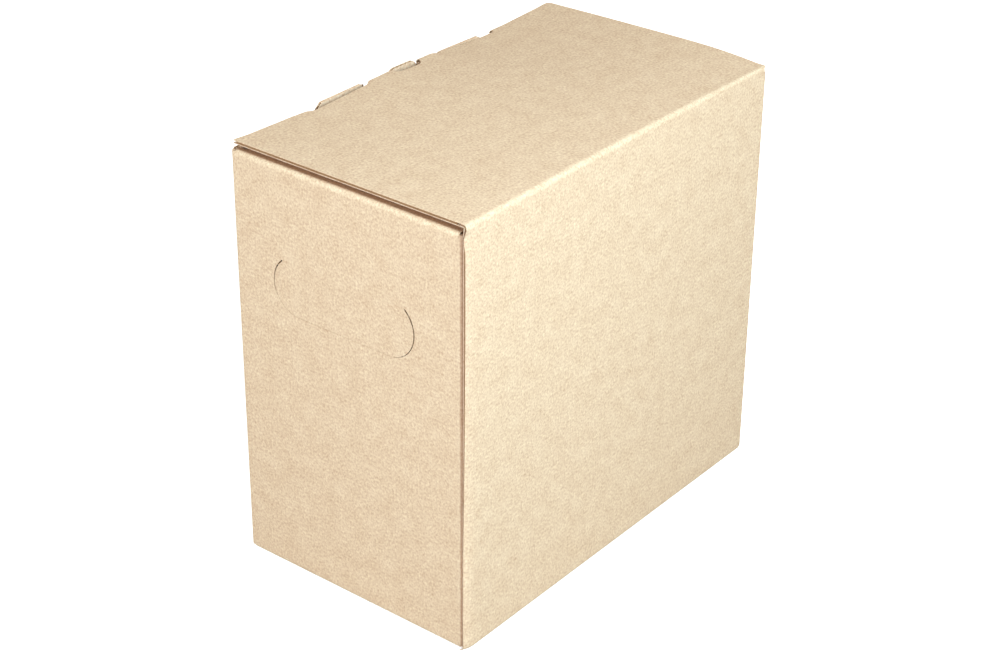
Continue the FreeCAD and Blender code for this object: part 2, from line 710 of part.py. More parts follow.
def make_bag():
    """Filled film bag: it takes the carton's shape, with room for fingers and for the tap."""
    body = new_body("bag")
    sketch = new_sketch(body, "XY_Plane", "bag_foot")
    rectangle(sketch, "-bag_half_width", "bag_half_width", "-bag_half_length", "bag_half_length")
    pad(body, sketch, "bag_top - bag_foot")
    fillet(body, "bag_side_radius", lambda e: runs_along(e, 2))
    fillet(body, "bag_top_radius", lambda e: abs(e.BoundBox.ZMin - value("bag_top")) < 1e-4)
    chamfer(body, "bag_foot_chamfer", lambda e: abs(e.BoundBox.ZMax - value("bag_foot")) < 1e-4)
    for side in ("-", ""):
        hollow = new_sketch(body, "YZ_Plane", "hand_hole_shift - hand_hole_width / 2 - finger_room")
        circle(hollow, side + "(half_length - board)", "crease_z",
               "crease_z - hand_hole_z + hand_hole_radius + finger_room")
        pocket(body, hollow, "hand_hole_width + 2 * finger_room")
    room = new_sketch(body, "XZ_Plane", "-half_length")
    circle(room, "0", "tap_height", "tap_room_radius")
    pocket(body, room, "half_length - weld_y")
    return body


# ---------------------------------------------------------------- tap, built on its own axis

def seat_on_bag(body):
    """Turns a piece built upright, from the weld at zero, so that it points at the back wall."""
    body.Placement = FreeCAD.Placement(
        FreeCAD.Vector(0, 0, 0), FreeCAD.Rotation(FreeCAD.Vector(1, 0, 0), -90))
    bind(body, "Placement.Base.y", "weld_y")
    bind(body, "Placement.Base.z", "tap_height")


def make_gland():
    body = new_body("spout_gland")
    sketch = new_sketch(body, "XZ_Plane")
    outline(sketch, [
        ("neck_bore_radius", "0"),
        ("weld_flange_radius", "0"),
        ("weld_flange_radius", "weld_flange_thickness"),
        ("neck_radius", "weld_flange_thickness"),
        ("neck_radius", "grip_ring_start"),
        ("grip_ring_radius", "grip_ring_start"),
        ("grip_ring_radius", "grip_ring_start + grip_ring_thickness"),
        ("neck_radius", "grip_ring_start + grip_ring_thickness"),
        ("neck_radius", "neck_length"),
        ("neck_bore_radius", "neck_length"),
    ])
    revolve(body, sketch)
    seat_on_bag(body)
    return body


def make_tap_body():
    body = new_body("tap_body")
    sketch = new_sketch(body, "XZ_Plane")
    chamber = "barrel_radius - barrel_wall"
    outline(sketch, [
        ("seat_bore_radius", "seat_z"),
        ("plug_radius - plug_wall", "seat_z"),
        ("plug_radius - plug_wall", "plug_start"),
        ("plug_radius", "plug_start"),
        ("plug_radius", "collar_start"),
        ("collar_radius", "collar_start"),
        ("collar_radius", "barrel_start"),
        ("barrel_radius", "barrel_start"),
        ("barrel_radius", "barrel_end"),
        ("stem_radius + stem_gap", "barrel_end"),
        ("stem_radius + stem_gap", "barrel_end - guide_thickness"),
        (chamber, "barrel_end - guide_thickness"),
        (chamber, "barrel_start"),
        ("plug_radius - plug_wall", "barrel_start"),
        ("plug_radius - plug_wall", "seat_z + barrel_wall"),
        ("seat_bore_radius", "seat_z + barrel_wall"),
    ])
    revolve(body, sketch)

    spout = new_sketch(body, "XZ_Plane", "-spout_drop")
    circle(spout, "0", "spout_z", "spout_radius")
    pad(body, spout, "spout_drop - barrel_radius + barrel_wall / 2")
    bore = new_sketch(body, "XZ_Plane", "-spout_drop - overrun")
    circle(bore, "0", "spout_z", "spout_radius - barrel_wall")
    pocket(body, bore, "spout_drop + overrun - bore_end")

    wings = new_sketch(body, "XY_Plane", "barrel_end - wing_thickness - wing_set_back")
    for side in ("-", ""):
        outer, inner = side + "wing_span / 2", side + "(barrel_radius - barrel_wall / 2)"
        pair = (outer, inner) if side == "-" else (inner, outer)
        rectangle(wings, pair[0], pair[1], "-wing_height / 2", "wing_height / 2")
    pad(body, wings, "wing_thickness")
    tips = [(x, y) for x in ("-wing_span / 2", "wing_span / 2")
            for y in ("-wing_height / 2", "wing_height / 2")]
    fillet(body, "wing_tip_radius", lambda e: runs_along(e, 2) and passes(e, tips, (0, 1)))
    seat_on_bag(body)
    return body


def make_valve_stem():
    body = new_body("valve_stem")
    sketch = new_sketch(body, "XZ_Plane")
    button_floor = "button_face - button_wall"
    outline(sketch, [
        ("0", "head_z"),
        ("valve_head_radius", "head_z"),
        ("valve_head_radius", "head_z + valve_head_thickness"),
        ("stem_radius", "head_z + valve_head_thickness"),
        ("stem_radius", button_floor),
        ("0", button_floor),
    ])
    revolve(body, sketch)
    seat_on_bag(body)
    return body


def make_valve_washer():
    body = new_body("valve_washer")
    sketch = new_sketch(body, "XZ_Plane")
    rectangle(sketch, "stem_radius", "valve_head_radius", "head_z + valve_head_thickness",
              "head_z + valve_head_thickness + washer_thickness")
    revolve(body, sketch)
    seat_on_bag(body)
    return body


def make_push_button():
    body = new_body("push_button")
    sketch = new_sketch(body, "XZ_Plane")
    outline(sketch, [
        ("0", "button_face - button_wall"),
        ("button_radius - button_wall", "button_face - button_wall"),
        ("button_radius - button_wall", "button_back"),
        ("button_radius", "button_back"),
        ("button_radius", "button_face"),
        ("0", "button_face"),
    ])
    revolve(body, sketch)
    seat_on_bag(body)
    return body


def make_return_sleeve():
    """Rubber sleeve round the stem that pushes the button out again and crumples as it goes in."""
    body = new_body("return_sleeve")
    sketch = new_sketch(body, "XZ_Plane")
    foot = "barrel_end + sleeve_gap"
    step = foot + " + sleeve_foot_thickness"
    top = "button_face - button_wall - sleeve_gap"
    outline(sketch, [
        ("sleeve_radius - sleeve_wall", foot),
        ("sleeve_foot_radius", foot),
        ("sleeve_foot_radius", step),
        ("sleeve_radius", step),
        ("sleeve_radius", top),
        ("sleeve_radius - sleeve_wall", top),
    ])
    revolve(body, sketch)
    seat_on_bag(body)
    return body


# ---------------------------------------------------------------- build, check and write

parts = [
    make_carton(),
    make_lid(),
    make_hand_hole_flap("front_hand_hole_flap", "half_length - board"),
    make_hand_hole_flap("back_hand_hole_flap", "-half_length"),
    make_bag(),
    make_gland(),
    make_tap_body(),
    make_valve_stem(),
    make_valve_washer(),
    make_push_button(),
    make_return_sleeve(),
]
doc.recompute()

for thing in doc.Objects:
    if "Invalid" in thing.State or "Error" in thing.State:
        raise RuntimeError("%s: %s" % (thing.Label, thing.State))
for piece in parts:
    if piece.Shape.isNull() or not piece.Shape.isValid():
        raise RuntimeError("%s has no valid shape" % piece.Label)

os.makedirs("parts", exist_ok=True)
for piece in parts:
    piece.Shape.exportStep(os.path.join("parts", piece.Label + ".step"))
    box = piece.Shape.BoundBox
    print("%-22s %9.2f cm3  %d solid  X %.2f..%.2f  Y %.2f..%.2f  Z %.2f..%.2f" % (
        piece.Label, piece.Shape.Volume / 1000, len(piece.Shape.Solids),
        box.XMin, box.XMax, box.YMin, box.YMax, box.ZMin, box.ZMax))
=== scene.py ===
"""Looks of a bag-in-box: corrugated board, film bag and push tap, in metres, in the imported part's frame."""

import math

import bmesh
import bpy
import numpy as np
from mathutils import Matrix, Vector, noise
from mathutils.geometry import delaunay_2d_cdt

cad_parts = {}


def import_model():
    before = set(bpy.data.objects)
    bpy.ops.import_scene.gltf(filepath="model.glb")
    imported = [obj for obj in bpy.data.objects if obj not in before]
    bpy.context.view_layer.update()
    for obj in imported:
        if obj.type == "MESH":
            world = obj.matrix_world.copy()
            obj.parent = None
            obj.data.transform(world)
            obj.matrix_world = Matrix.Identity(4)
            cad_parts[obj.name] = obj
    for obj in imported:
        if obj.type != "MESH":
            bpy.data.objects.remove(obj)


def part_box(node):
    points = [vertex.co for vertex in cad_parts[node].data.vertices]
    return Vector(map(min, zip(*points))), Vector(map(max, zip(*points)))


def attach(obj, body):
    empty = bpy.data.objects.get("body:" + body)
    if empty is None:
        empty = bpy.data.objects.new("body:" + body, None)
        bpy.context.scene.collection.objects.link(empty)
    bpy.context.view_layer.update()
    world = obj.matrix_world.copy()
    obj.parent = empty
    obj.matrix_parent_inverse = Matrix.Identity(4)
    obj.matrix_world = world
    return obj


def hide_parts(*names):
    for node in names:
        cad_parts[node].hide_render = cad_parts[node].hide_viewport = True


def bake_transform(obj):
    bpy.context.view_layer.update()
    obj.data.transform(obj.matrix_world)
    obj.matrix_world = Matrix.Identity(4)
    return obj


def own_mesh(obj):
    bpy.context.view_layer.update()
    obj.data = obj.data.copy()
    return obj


bl_info = {
    "name": "Bag-in-box looks",
    "version": (1, 0, 0),
    "blender": (4, 5, 0),
    "location": "3D View > Sidebar > Bag-in-box",
    "description": "Corrugated carton with a tuck lid, its film bag and its push tap",
    "category": "Object",
}

MM = 0.001
BESIDE_FOLD = 0.8 * MM  # mesh lines on both sides of a fold
LINE_END = MM  # mesh lines run on past an outline
PRESSED = 0.5 * MM  # depth of the pressed board in a raw top
BUILT = {}  # what is built once and used by several pieces


# ---------------------------------------------------------------- settings

def length(name, millimetres, description):
    """A length setting, given in millimetres and kept in metres."""
    return bpy.props.FloatProperty(
        name=name, default=millimetres * MM, description=description, unit="LENGTH", subtype="DISTANCE",
        precision=5)


def angle(name, degrees, description):
    """An angle setting, given in degrees and kept in radians."""
    return bpy.props.FloatProperty(
        name=name, default=math.radians(degrees), description=description, unit="ROTATION", subtype="ANGLE")


def whole(name, number, description):
    """A setting that is a whole number."""
    return bpy.props.IntProperty(name=name, default=number, description=description)


def power(name, watts, description):
    """A lamp's power, in watts."""
    return bpy.props.FloatProperty(name=name, default=watts, description=description, unit="POWER")


class BoardSettings(bpy.types.PropertyGroup):
    """Corrugated board: two liners with a fluted sheet between them."""
    thickness: length("Board thickness", 2.0, "Outer face to inner face")
    liner: length("Liner", 0.34, "Thickness of each flat liner")
    flute_pitch: length("Flute pitch", 3.5, "From one flute's crest to the next")
    flute_paper: length("Flute paper", 0.22, "Thickness of the fluted sheet")
    flute_reach: length("Flute reach", 6.0, "How far in from a raw edge the flutes are built")
    edge_recess: length("Edge recess", 0.25, "Flutes' cut ends behind the liners' edges")
    side_width: length("Side width", 1.4, "Width of the flute that shows along a raw side")
    side_piece: length("Side piece", 10.0, "Longest straight stretch of a flute along a raw side")
    fold_radius: length("Fold radius", 3.0, "Outer radius of a fold")
    fold_steps: whole("Fold steps", 8, "Facets across a right-angled fold")
    grid: length("Grid", 11.0, "Spacing of the mesh lines on flat panels")


class CartonSettings(bpy.types.PropertyGroup):
    """The carton's blank: where its flaps, tabs and cuts are."""
    end_drop: length("End wall drop", 5.5, "End walls' top folds below the lid's top face")
    lid_height: length("Lid height", 260.0, "Lid's top face above the ground")
    glue_flap: length("Glue flap", 37.0, "Front wall's flap behind the lid wall")
    raw_edge_step: length("Raw edge step", 0.3, "Lid wall's raw edge behind the front face")
    dust_flap: length("Dust flap", 81.0, "Dust flaps from the end face")
    dust_rise: length("Dust flap rise", 0.1, "Dust flaps' free ends above their folds")
    dust_gap: length("Dust flap gap", 1.2, "Dust flaps' sides from the walls")
    dust_relief: length("Dust flap relief", 5.5, "Dust flaps' cut-back beside the tuck flap")
    dust_corner: length("Dust flap corner", 12.0, "Run of the slanted side of a dust flap")
    inner_foot: length("Inner bottom flap", 84.0, "Inner bottom flaps from the end face")
    fold_rise: length("Bottom fold rise", 9.0, "Run over which the inner bottom flaps climb")
    meeting_gap: length("Meeting gap", 1.0, "Between the outer bottom flaps")
    foot_set_back: length("Bottom flap set-back", 10.0, "Outer bottom flaps' raw ends behind the end faces")
    corner_slot: length("Corner slot", 3.0, "Slots between flaps at the corners")
    corner_rise: length("Corner rise", 2.2, "How far the rounded corners run into the slots")
    tab_near: length("Tab near end", 32.0, "Locking tabs' inner ends from the middle")
    tab_far: length("Tab far end", 70.0, "Locking tabs' outer ends from the middle")
    tab_slant: length("Tab slant", 4.0, "Run of a tab's slanted end")
    tab_drop: length("Tab drop", 3.1, "Tabs' tops below the lid's top face")
    front_tab_rise: length("Front tab rise", 1.1, "Front tab's top above the back tab's")
    bow: length("Bow", 3.8, "Lock wall's top pressed inwards where it bows most")
    joint_pull: length("Joint pull", 2.4, "Side wall's raw edge drawn in at the glued corner, at its foot")
    joint_run: length("Joint run", 7.0, "Width of the wall that is drawn in")
    tongue_width: length("Tongue width", 22.0, "Rounded tongue on the lock wall")
    tongue_shift: length("Tongue shift", 1.8, "Tongue's middle from the carton's middle")
    tongue_drop: length("Tongue drop", 1.3, "Tongue's top below the lid's top face")
    tongue_corner: length("Tongue corner", 4.0, "Radius of the tongue's corners")
    door_width: length("Door width", 64.0, "Tear-out tap door")
    door_height: length("Door height", 66.0, "Tear-out tap door")
    door_middle: length("Door middle", 43.0, "Door's middle above the ground")
    slit_length: length("Slit length", 9.0, "Perforation cut")
    slit_width: length("Slit width", 0.8, "Perforation cut")
    slits: whole("Slits", 5, "Perforation cuts on each side of the door")


class HandHoleSettings(bpy.types.PropertyGroup):
    """Hand holes and the flaps that close them."""
    width: length("Width", 98.0, "Between the rounded ends")
    height: length("Height", 35.0, "Height of the full oval")
    middle: length("Middle", 186.0, "Above the ground")
    shift: length("Shift", -3.0, "Sideways from the carton's middle")
    crease: angle("Crease", 50, "Angle of the cut's end above level")
    gap: length("Cut", 0.6, "Width of the cut round the flap")
    slip: length("Slip", -0.12, "Front flap pushed sideways in its hole")
    drop: length("Drop", 0.42, "Front flap sunk in its hole")
    strip: length("Crease strip", 2.2, "Board above and below the crease that bends")


class LidSettings(bpy.types.PropertyGroup):
    """The lid's panel, its tuck flap, its slots and thumb notch."""
    half_length: length("Half length", 135.0, "Lid's raw ends from the middle")
    edge: length("Edge", -78.7, "Tuck fold's face across the carton")
    tuck_depth: length("Tuck depth", 27.0, "Tuck flap below the lid's top face")
    tuck_lean: length("Tuck lean", 3.0, "Tuck flap's edge further in than its fold")
    tuck_end: length("Tuck end", 130.5, "Tuck flap's ends from the middle")
    tuck_corner: length("Tuck corner", 12.0, "Radius of the tuck flap's corners")
    tuck_radius: length("Tuck fold radius", 2.3, "Outer radius of the tuck flap's fold")
    slot_shift: length("Slot shift", -2.9, "Middle between the slots from the carton's middle")
    slot_near: length("Slot near end", 24.9, "Lock slots' inner ends from their middle")
    slot_far: length("Slot far end", 79.6, "Lock slots' outer ends from their middle")
    near_slant: length("Near slant", 6.3, "Run of a slot's slanted inner end")
    far_slant: length("Far slant", 5.2, "Run of the front slot's slanted outer end")
    back_slant: length("Back slant", 0.8, "Run of the back slot's slanted outer end")
    back_run: length("Back run", 3.0, "Back slot's cut runs on past its outer end")
    slot_edge: length("Slot edge", -74.2, "Lock slots' inner edge across the carton")
    slot_reach: length("Slot reach", 7.0, "Slots and notch below the lid's top face")
    notch_start: length("Notch start", -11.5, "Thumb notch's front end")
    notch_end: length("Notch end", 12.9, "Thumb notch's back end")
    notch_edge: length("Notch edge", -71.1, "Thumb notch's inner edge")
    notch_corner: length("Notch corner", 6.7, "Radius of the notch's corners")
    corner_reach: length("Corner reach", 2.0, "Lid's corners run on beside the tuck flap")
    seam: length("Seam", 74.5, "Where the bending fold meets the stiff panel")
    seam_below: length("Seam below", 252.5, "Where the bending fold meets the wall")
    overhang: length("Overhang", 1.1, "Lid's front corner further out than its edge")
    hinge_drop: length("Hinge drop", 2.2, "Softer bend of the lid at the back end of its hinge")
    sag: length("Sag", 3.4, "How far the lid's free edge lies below its hinge, where it lies lowest")


class BagSettings(bpy.types.PropertyGroup):
    """The filled film bag."""
    voxel: length("Voxel", 4.0, "Size of the remeshed cells")
    inset: length("Inset", 0.5, "Film inside the solid's surface")
    wrinkle: length("Wrinkle", 2.2, "Depth of the larger wrinkles")
    seam_width: length("Seam width", 8.0, "Welded edge across the top")
    seed: whole("Seed", 7, "Pattern of the wrinkles")


class StageSettings(bpy.types.PropertyGroup):
    """Camera, lamps and floor."""
    lens: bpy.props.FloatProperty(name="Lens", default=81.89, description="Focal length in millimetres")
    azimuth: angle("Azimuth", 38.36, "Camera round the object")
    elevation: angle("Elevation", 29.09, "Camera above the horizon")
    roll: angle("Roll", 0.5, "Camera round its own axis")
    place: bpy.props.FloatVectorProperty(
        name="Place", default=(0.7117, -0.9061, 0.7585), description="Camera's place", subtype="TRANSLATION",
        unit="LENGTH")
    ambient: bpy.props.FloatProperty(
        name="Ambient", default=0.27, description="Brightness of the surroundings")
    key: power("Key", 12.1, "Lamp at the side")
    fill: power("Fill", 7.8, "Lamp in front")
    back: power("Back", 6.0, "Lamp behind")


GROUPS = (
    ("board", BoardSettings), ("carton", CartonSettings), ("hand_hole", HandHoleSettings),
    ("lid", LidSettings), ("bag", BagSettings), ("stage", StageSettings))


class BoxSettings(bpy.types.PropertyGroup):
    """All settings of the bag-in-box."""
    board: bpy.props.PointerProperty(type=BoardSettings)
    carton: bpy.props.PointerProperty(type=CartonSettings)
    hand_hole: bpy.props.PointerProperty(type=HandHoleSettings)
    lid: bpy.props.PointerProperty(type=LidSettings)
    bag: bpy.props.PointerProperty(type=BagSettings)
    stage: bpy.props.PointerProperty(type=StageSettings)


# ---------------------------------------------------------------- bent board

class Strip:
    """A bent sheet seen from its edge: its outer face as straight runs and right-hand folds."""

    def __init__(self, start, heading, first):
        self.point = np.array(start, float)
        self.heading = math.radians(heading)
        self.at_length = first
        self.runs = []

    def line(self, run):
        self.runs.append(("line", self.at_length, self.point.copy(), self.heading, 0.0))
        self.point = self.point + run * np.array([math.cos(self.heading), math.sin(self.heading)])
        self.at_length += run
        return self

    def fold(self, radius, degrees):
        self.runs.append(("fold", self.at_length, self.point.copy(), self.heading, radius))
        normal = np.array([math.sin(self.heading), -math.cos(self.heading)])
        centre = self.point + normal * radius
        self.heading -= math.radians(degrees)
        normal = np.array([math.sin(self.heading), -math.cos(self.heading)])
        self.point = centre - normal * radius
        self.at_length += radius * math.radians(degrees)
        return self

    def bend_back(self, degrees):
        """A slight left-hand crease without a radius."""
        self.heading += math.radians(degrees)
        return self

    def place(self, along, depth):
        """Points at a length along the outer face and a depth below it."""
        out = np.zeros((len(along), 2))
        starts = np.array([run[1] for run in self.runs])
        index = np.clip(np.searchsorted(starts, along + 1e-9, side="right") - 1, 0, len(self.runs) - 1)
        for i, (kind, first, point, heading, radius) in enumerate(self.runs):
            chosen = index == i
            if not chosen.any():
                continue
            run, deep = along[chosen] - first, depth[chosen]
            normal = np.array([math.sin(heading), -math.cos(heading)])
            if kind == "line":
                ahead = np.array([math.cos(heading), math.sin(heading)])
                out[chosen] = point + run[:, None] * ahead + deep[:, None] * normal
            else:
                turned = heading - run / radius
                normals = np.stack([np.sin(turned), -np.cos(turned)], axis=1)
                out[chosen] = point + normal * radius - normals * (radius - deep)[:, None]
        return out

    def stretches(self, kind):
        """Where each straight run or each fold starts and ends."""
        ends = [run[1] for run in self.runs[1:]] + [self.at_length]
        return [(run[1], end) for run, end in zip(self.runs, ends) if run[0] == kind]

    def folds(self, steps):
        """Lengths at which mesh lines cross the folds."""
        found = []
        for first, last in self.stretches("fold"):
            found += list(np.linspace(first, last, steps + 1)) + [first - BESIDE_FOLD, last + BESIDE_FOLD]
        return found


def rounded(corners, steps=7):
    """Points of an outline whose corners are (x, y) or (x, y, radius)."""
    points = []
    count = len(corners)
    for i, corner in enumerate(corners):
        here = np.array(corner[:2], float)
        if len(corner) == 2 or corner[2] <= 0:
            points.append(tuple(here))
            continue
        before = np.array(corners[i - 1][:2], float)
        after = np.array(corners[(i + 1) % count][:2], float)
        a = (before - here) / np.linalg.norm(before - here)
        b = (after - here) / np.linalg.norm(after - here)
        half = math.acos(max(-1.0, min(1.0, float(a @ b)))) / 2
        reach = corner[2] / math.tan(half)
        centre = here + (a + b) / np.linalg.norm(a + b) * corner[2] / math.sin(half)
        start = here + a * reach - centre
        end = here + b * reach - centre
        first = math.atan2(start[1], start[0])
        sweep = math.atan2(start[0] * end[1] - start[1] * end[0], float(start @ end))
        for k in range(steps + 1):
            angle = first + sweep * k / steps
            points.append(tuple(centre + corner[2] * np.array([math.cos(angle), math.sin(angle)])))
    return points


def inside(points, loops):
    """True for each point that an odd number of the closed loops surrounds."""
    odd = np.zeros(len(points), bool)
    x, y = points[:, 0], points[:, 1]
    for loop in loops:
        ring = np.array(loop, float)
        after = np.roll(ring, -1, axis=0)
        for (x0, y0), (x1, y1) in zip(ring, after):
            if y0 == y1:
                continue
            crosses = (y0 > y) != (y1 > y)
            odd ^= crosses & (x < x0 + (y - y0) * (x1 - x0) / (y1 - y0))
    return odd


def flat_mesh(loops, across, along):
    """Triangles that fill the loops, with mesh lines at the given places: ((u, low, high), ...) and
    ((v, low, high), ...)."""
    points, edges = [], []
    for loop in loops:
        first = len(points)
        points += [Vector((p[0] / MM, p[1] / MM)) for p in loop]
        edges += [(first + i, first + (i + 1) % len(loop)) for i in range(len(loop))]
    for u, low, high in across:
        edges.append((len(points), len(points) + 1))
        points += [Vector((u / MM, low / MM)), Vector((u / MM, high / MM))]
    for v, low, high in along:
        edges.append((len(points), len(points) + 1))
        points += [Vector((low / MM, v / MM)), Vector((high / MM, v / MM))]
    found, _, triangles, _, _, _ = delaunay_2d_cdt(points, edges, [], 0, 1e-4, False)
    flat = np.array([(p[0], p[1]) for p in found]) * MM
    tris = np.array([t for t in triangles if len(t) == 3], int)
    kept = tris[inside(flat[tris].mean(axis=1), loops)]
    area = np.cross(flat[kept[:, 1]] - flat[kept[:, 0]], flat[kept[:, 2]] - flat[kept[:, 0]])
    kept = kept[np.abs(area) > 1e-13]
    area = area[np.abs(area) > 1e-13]
    kept[area < 0] = kept[area < 0][:, ::-1]
    used, packed = np.unique(kept, return_inverse=True)
    return flat[used], packed.reshape(-1, 3)


def rim(tris):
    """Edges that only one triangle has, in that triangle's direction."""
    seen = {}
    for a, b, c in tris:
        for e in ((a, b), (b, c), (c, a)):
            seen[e] = True
    return [e for e in seen if (e[1], e[0]) not in seen]


class MeshParts:
    """Vertices, faces and each vertex's place on the flat blank, gathered for one mesh."""

    def __init__(self):
        self.vertices, self.faces, self.flat = [], [], []
        self.count = 0

    def add(self, vertices, faces, flat):
        self.vertices.append(vertices)
        self.faces += [tuple(int(i) + self.count for i in f) for f in faces]
        self.flat.append(flat)
        self.count += len(vertices)

    def sheet(self, flat, tris, place, outer, inner):
        """A closed sheet between two depths of the board."""
        n = len(flat)
        u = np.concatenate([flat[:, 0]] * 2)
        v = np.concatenate([flat[:, 1]] * 2)
        w = np.concatenate([np.full(n, outer), np.full(n, inner)])
        faces = [t[::-1] for t in tris] + [t + n for t in tris]
        faces += [(a, b, b + n, a + n) for a, b in rim(tris)]
        self.add(place(u, v, w), faces, np.stack([u, v, w], axis=1))

    def build(self, name):
        mesh = bpy.data.meshes.new(name)
        mesh.from_pydata(np.concatenate(self.vertices).tolist(), [], self.faces)
        attribute = mesh.attributes.new("flat", "FLOAT_VECTOR", "POINT")
        attribute.data.foreach_set("vector", np.concatenate(self.flat).astype(np.float32).ravel())
        mesh.validate()
        finish_mesh(mesh)
        return linked(name, mesh)


def linked(name, data):
    """A new object in the scene that carries the data."""
    piece = bpy.data.objects.new(name, data)
    bpy.context.scene.collection.objects.link(piece)
    return piece


def applied(piece):
    """Gives a piece the mesh that its modifiers make, and takes the modifiers off."""
    bpy.context.view_layer.update()
    graph = bpy.context.evaluated_depsgraph_get()
    plain = bpy.data.meshes.new_from_object(piece.evaluated_get(graph))
    piece.modifiers.clear()
    piece.data = plain
    return plain


def finish_mesh(mesh, degrees=32):
    """Smooth shading, with edges sharper than the angle kept crisp."""
    mesh.update()
    mesh.polygons.foreach_set("use_smooth", [True] * len(mesh.polygons))
    mesh.set_sharp_from_angle(angle=math.radians(degrees))


def give(piece, material):
    """Makes this the piece's only material."""
    piece.data.materials.clear()
    piece.data.materials.append(material)


def grid_lines(low, high, step):
    """Evenly spaced places between two ends, without the ends."""
    return list(np.linspace(low, high, max(2, int(round((high - low) / step)) + 1)))[1:-1]


def flute_points(loops, board, skip=()):
    """Where the fluted sheet's cut ends show: (u, v, way, reach) for each flute that a raw edge crosses, and
    (u, low, high, way) for the loops' straight sides, which lie along a flute."""
    found, sides = [], []
    rings = [np.array(loop, float) for loop in loops]
    left = min(ring[:, 0].min() for ring in rings)
    right = max(ring[:, 0].max() for ring in rings)
    pitch = board.flute_pitch
    for u in np.arange(math.ceil(left / pitch) * pitch, right, pitch):
        cuts = []
        for ring in rings:
            for (x0, y0), (x1, y1) in zip(ring, np.roll(ring, -1, axis=0)):
                if (x0 > u) != (x1 > u):
                    cuts.append(y0 + (u - x0) * (y1 - y0) / (x1 - x0))
        cuts.sort()
        for bottom, top in zip(cuts[0::2], cuts[1::2]):
            reach = min(board.flute_reach, (top - bottom) / 2)
            for v, way in ((bottom, 1), (top, -1)):
                if reach >= 1.0 * MM and not any(abs(v - seam) < 0.1 * MM for seam in skip):
                    found.append((u, v + way * board.edge_recess, way, reach))
    for ring in rings:
        for (x0, y0), (x1, y1) in zip(ring, np.roll(ring, -1, axis=0)):
            if abs(x1 - x0) < 0.02 * MM and abs(y1 - y0) > 4 * MM:
                way = 1 if inside(np.array([[x0 + 0.3 * MM, (y0 + y1) / 2]]), loops)[0] else -1
                sides.append((x0, min(y0, y1), max(y0, y1), way))
    return found, sides


def within(found, sides, flats):
    """The flutes that lie on flat stretches of the blank, each shortened to its stretch."""
    points, runs = [], []
    for u, v, way, reach in found:
        for low, high in flats:
            room = (high - v) if way > 0 else (v - low)
            if low - 1e-6 <= v <= high + 1e-6 and room > 0.8 * MM:
                points.append((u, v, way, min(reach, room)))
    for x, low, high, way in sides:
        for flat_low, flat_high in flats:
            a, b = max(low, flat_low), min(high, flat_high)
            if b - a > 3 * MM:
                runs.append((x, a, b, way))
    return points, runs


def flute_frames(points, runs, place, board):
    """Places, turns and stretches of the flute units in the part's frame."""
    end_gap = 0.3 * MM
    rows = [point + (1.0,) for point in points]
    for x, low, high, way in runs:
        pieces = max(1, math.ceil((high - low) / board.side_piece))
        run = (high - low - 2 * end_gap) / pieces
        middle = x + way * (board.edge_recess + board.side_width / 2)
        rows += [(middle, low + end_gap + k * run, 1, run, board.side_width / board.flute_pitch)
                 for k in range(pieces)]
    if not rows:
        return np.zeros((0, 3)), np.zeros((0, 3)), np.zeros((0, 3))
    u, v, way, reach, width = np.array(rows).T
    middle = np.full(len(u), board.thickness / 2)
    step = 0.1 * MM
    here = place(u, v, middle)
    along = place(u, v + step * way, middle) - here
    inward = place(u, v, middle + step) - here
    turns = []
    for y, z in zip(along, inward):
        y, z = Vector(y).normalized(), Vector(z).normalized()
        turns.append(tuple(Matrix((y.cross(z), y, z)).transposed().to_euler()))
    across = place(u, v, np.full(len(u), board.thickness)) - place(u, v, np.zeros(len(u)))
    pressed = np.clip(np.linalg.norm(across, axis=1) / board.thickness, 0.05, 1.0)
    return here, np.array(turns), np.stack([width, reach, pressed], axis=1)


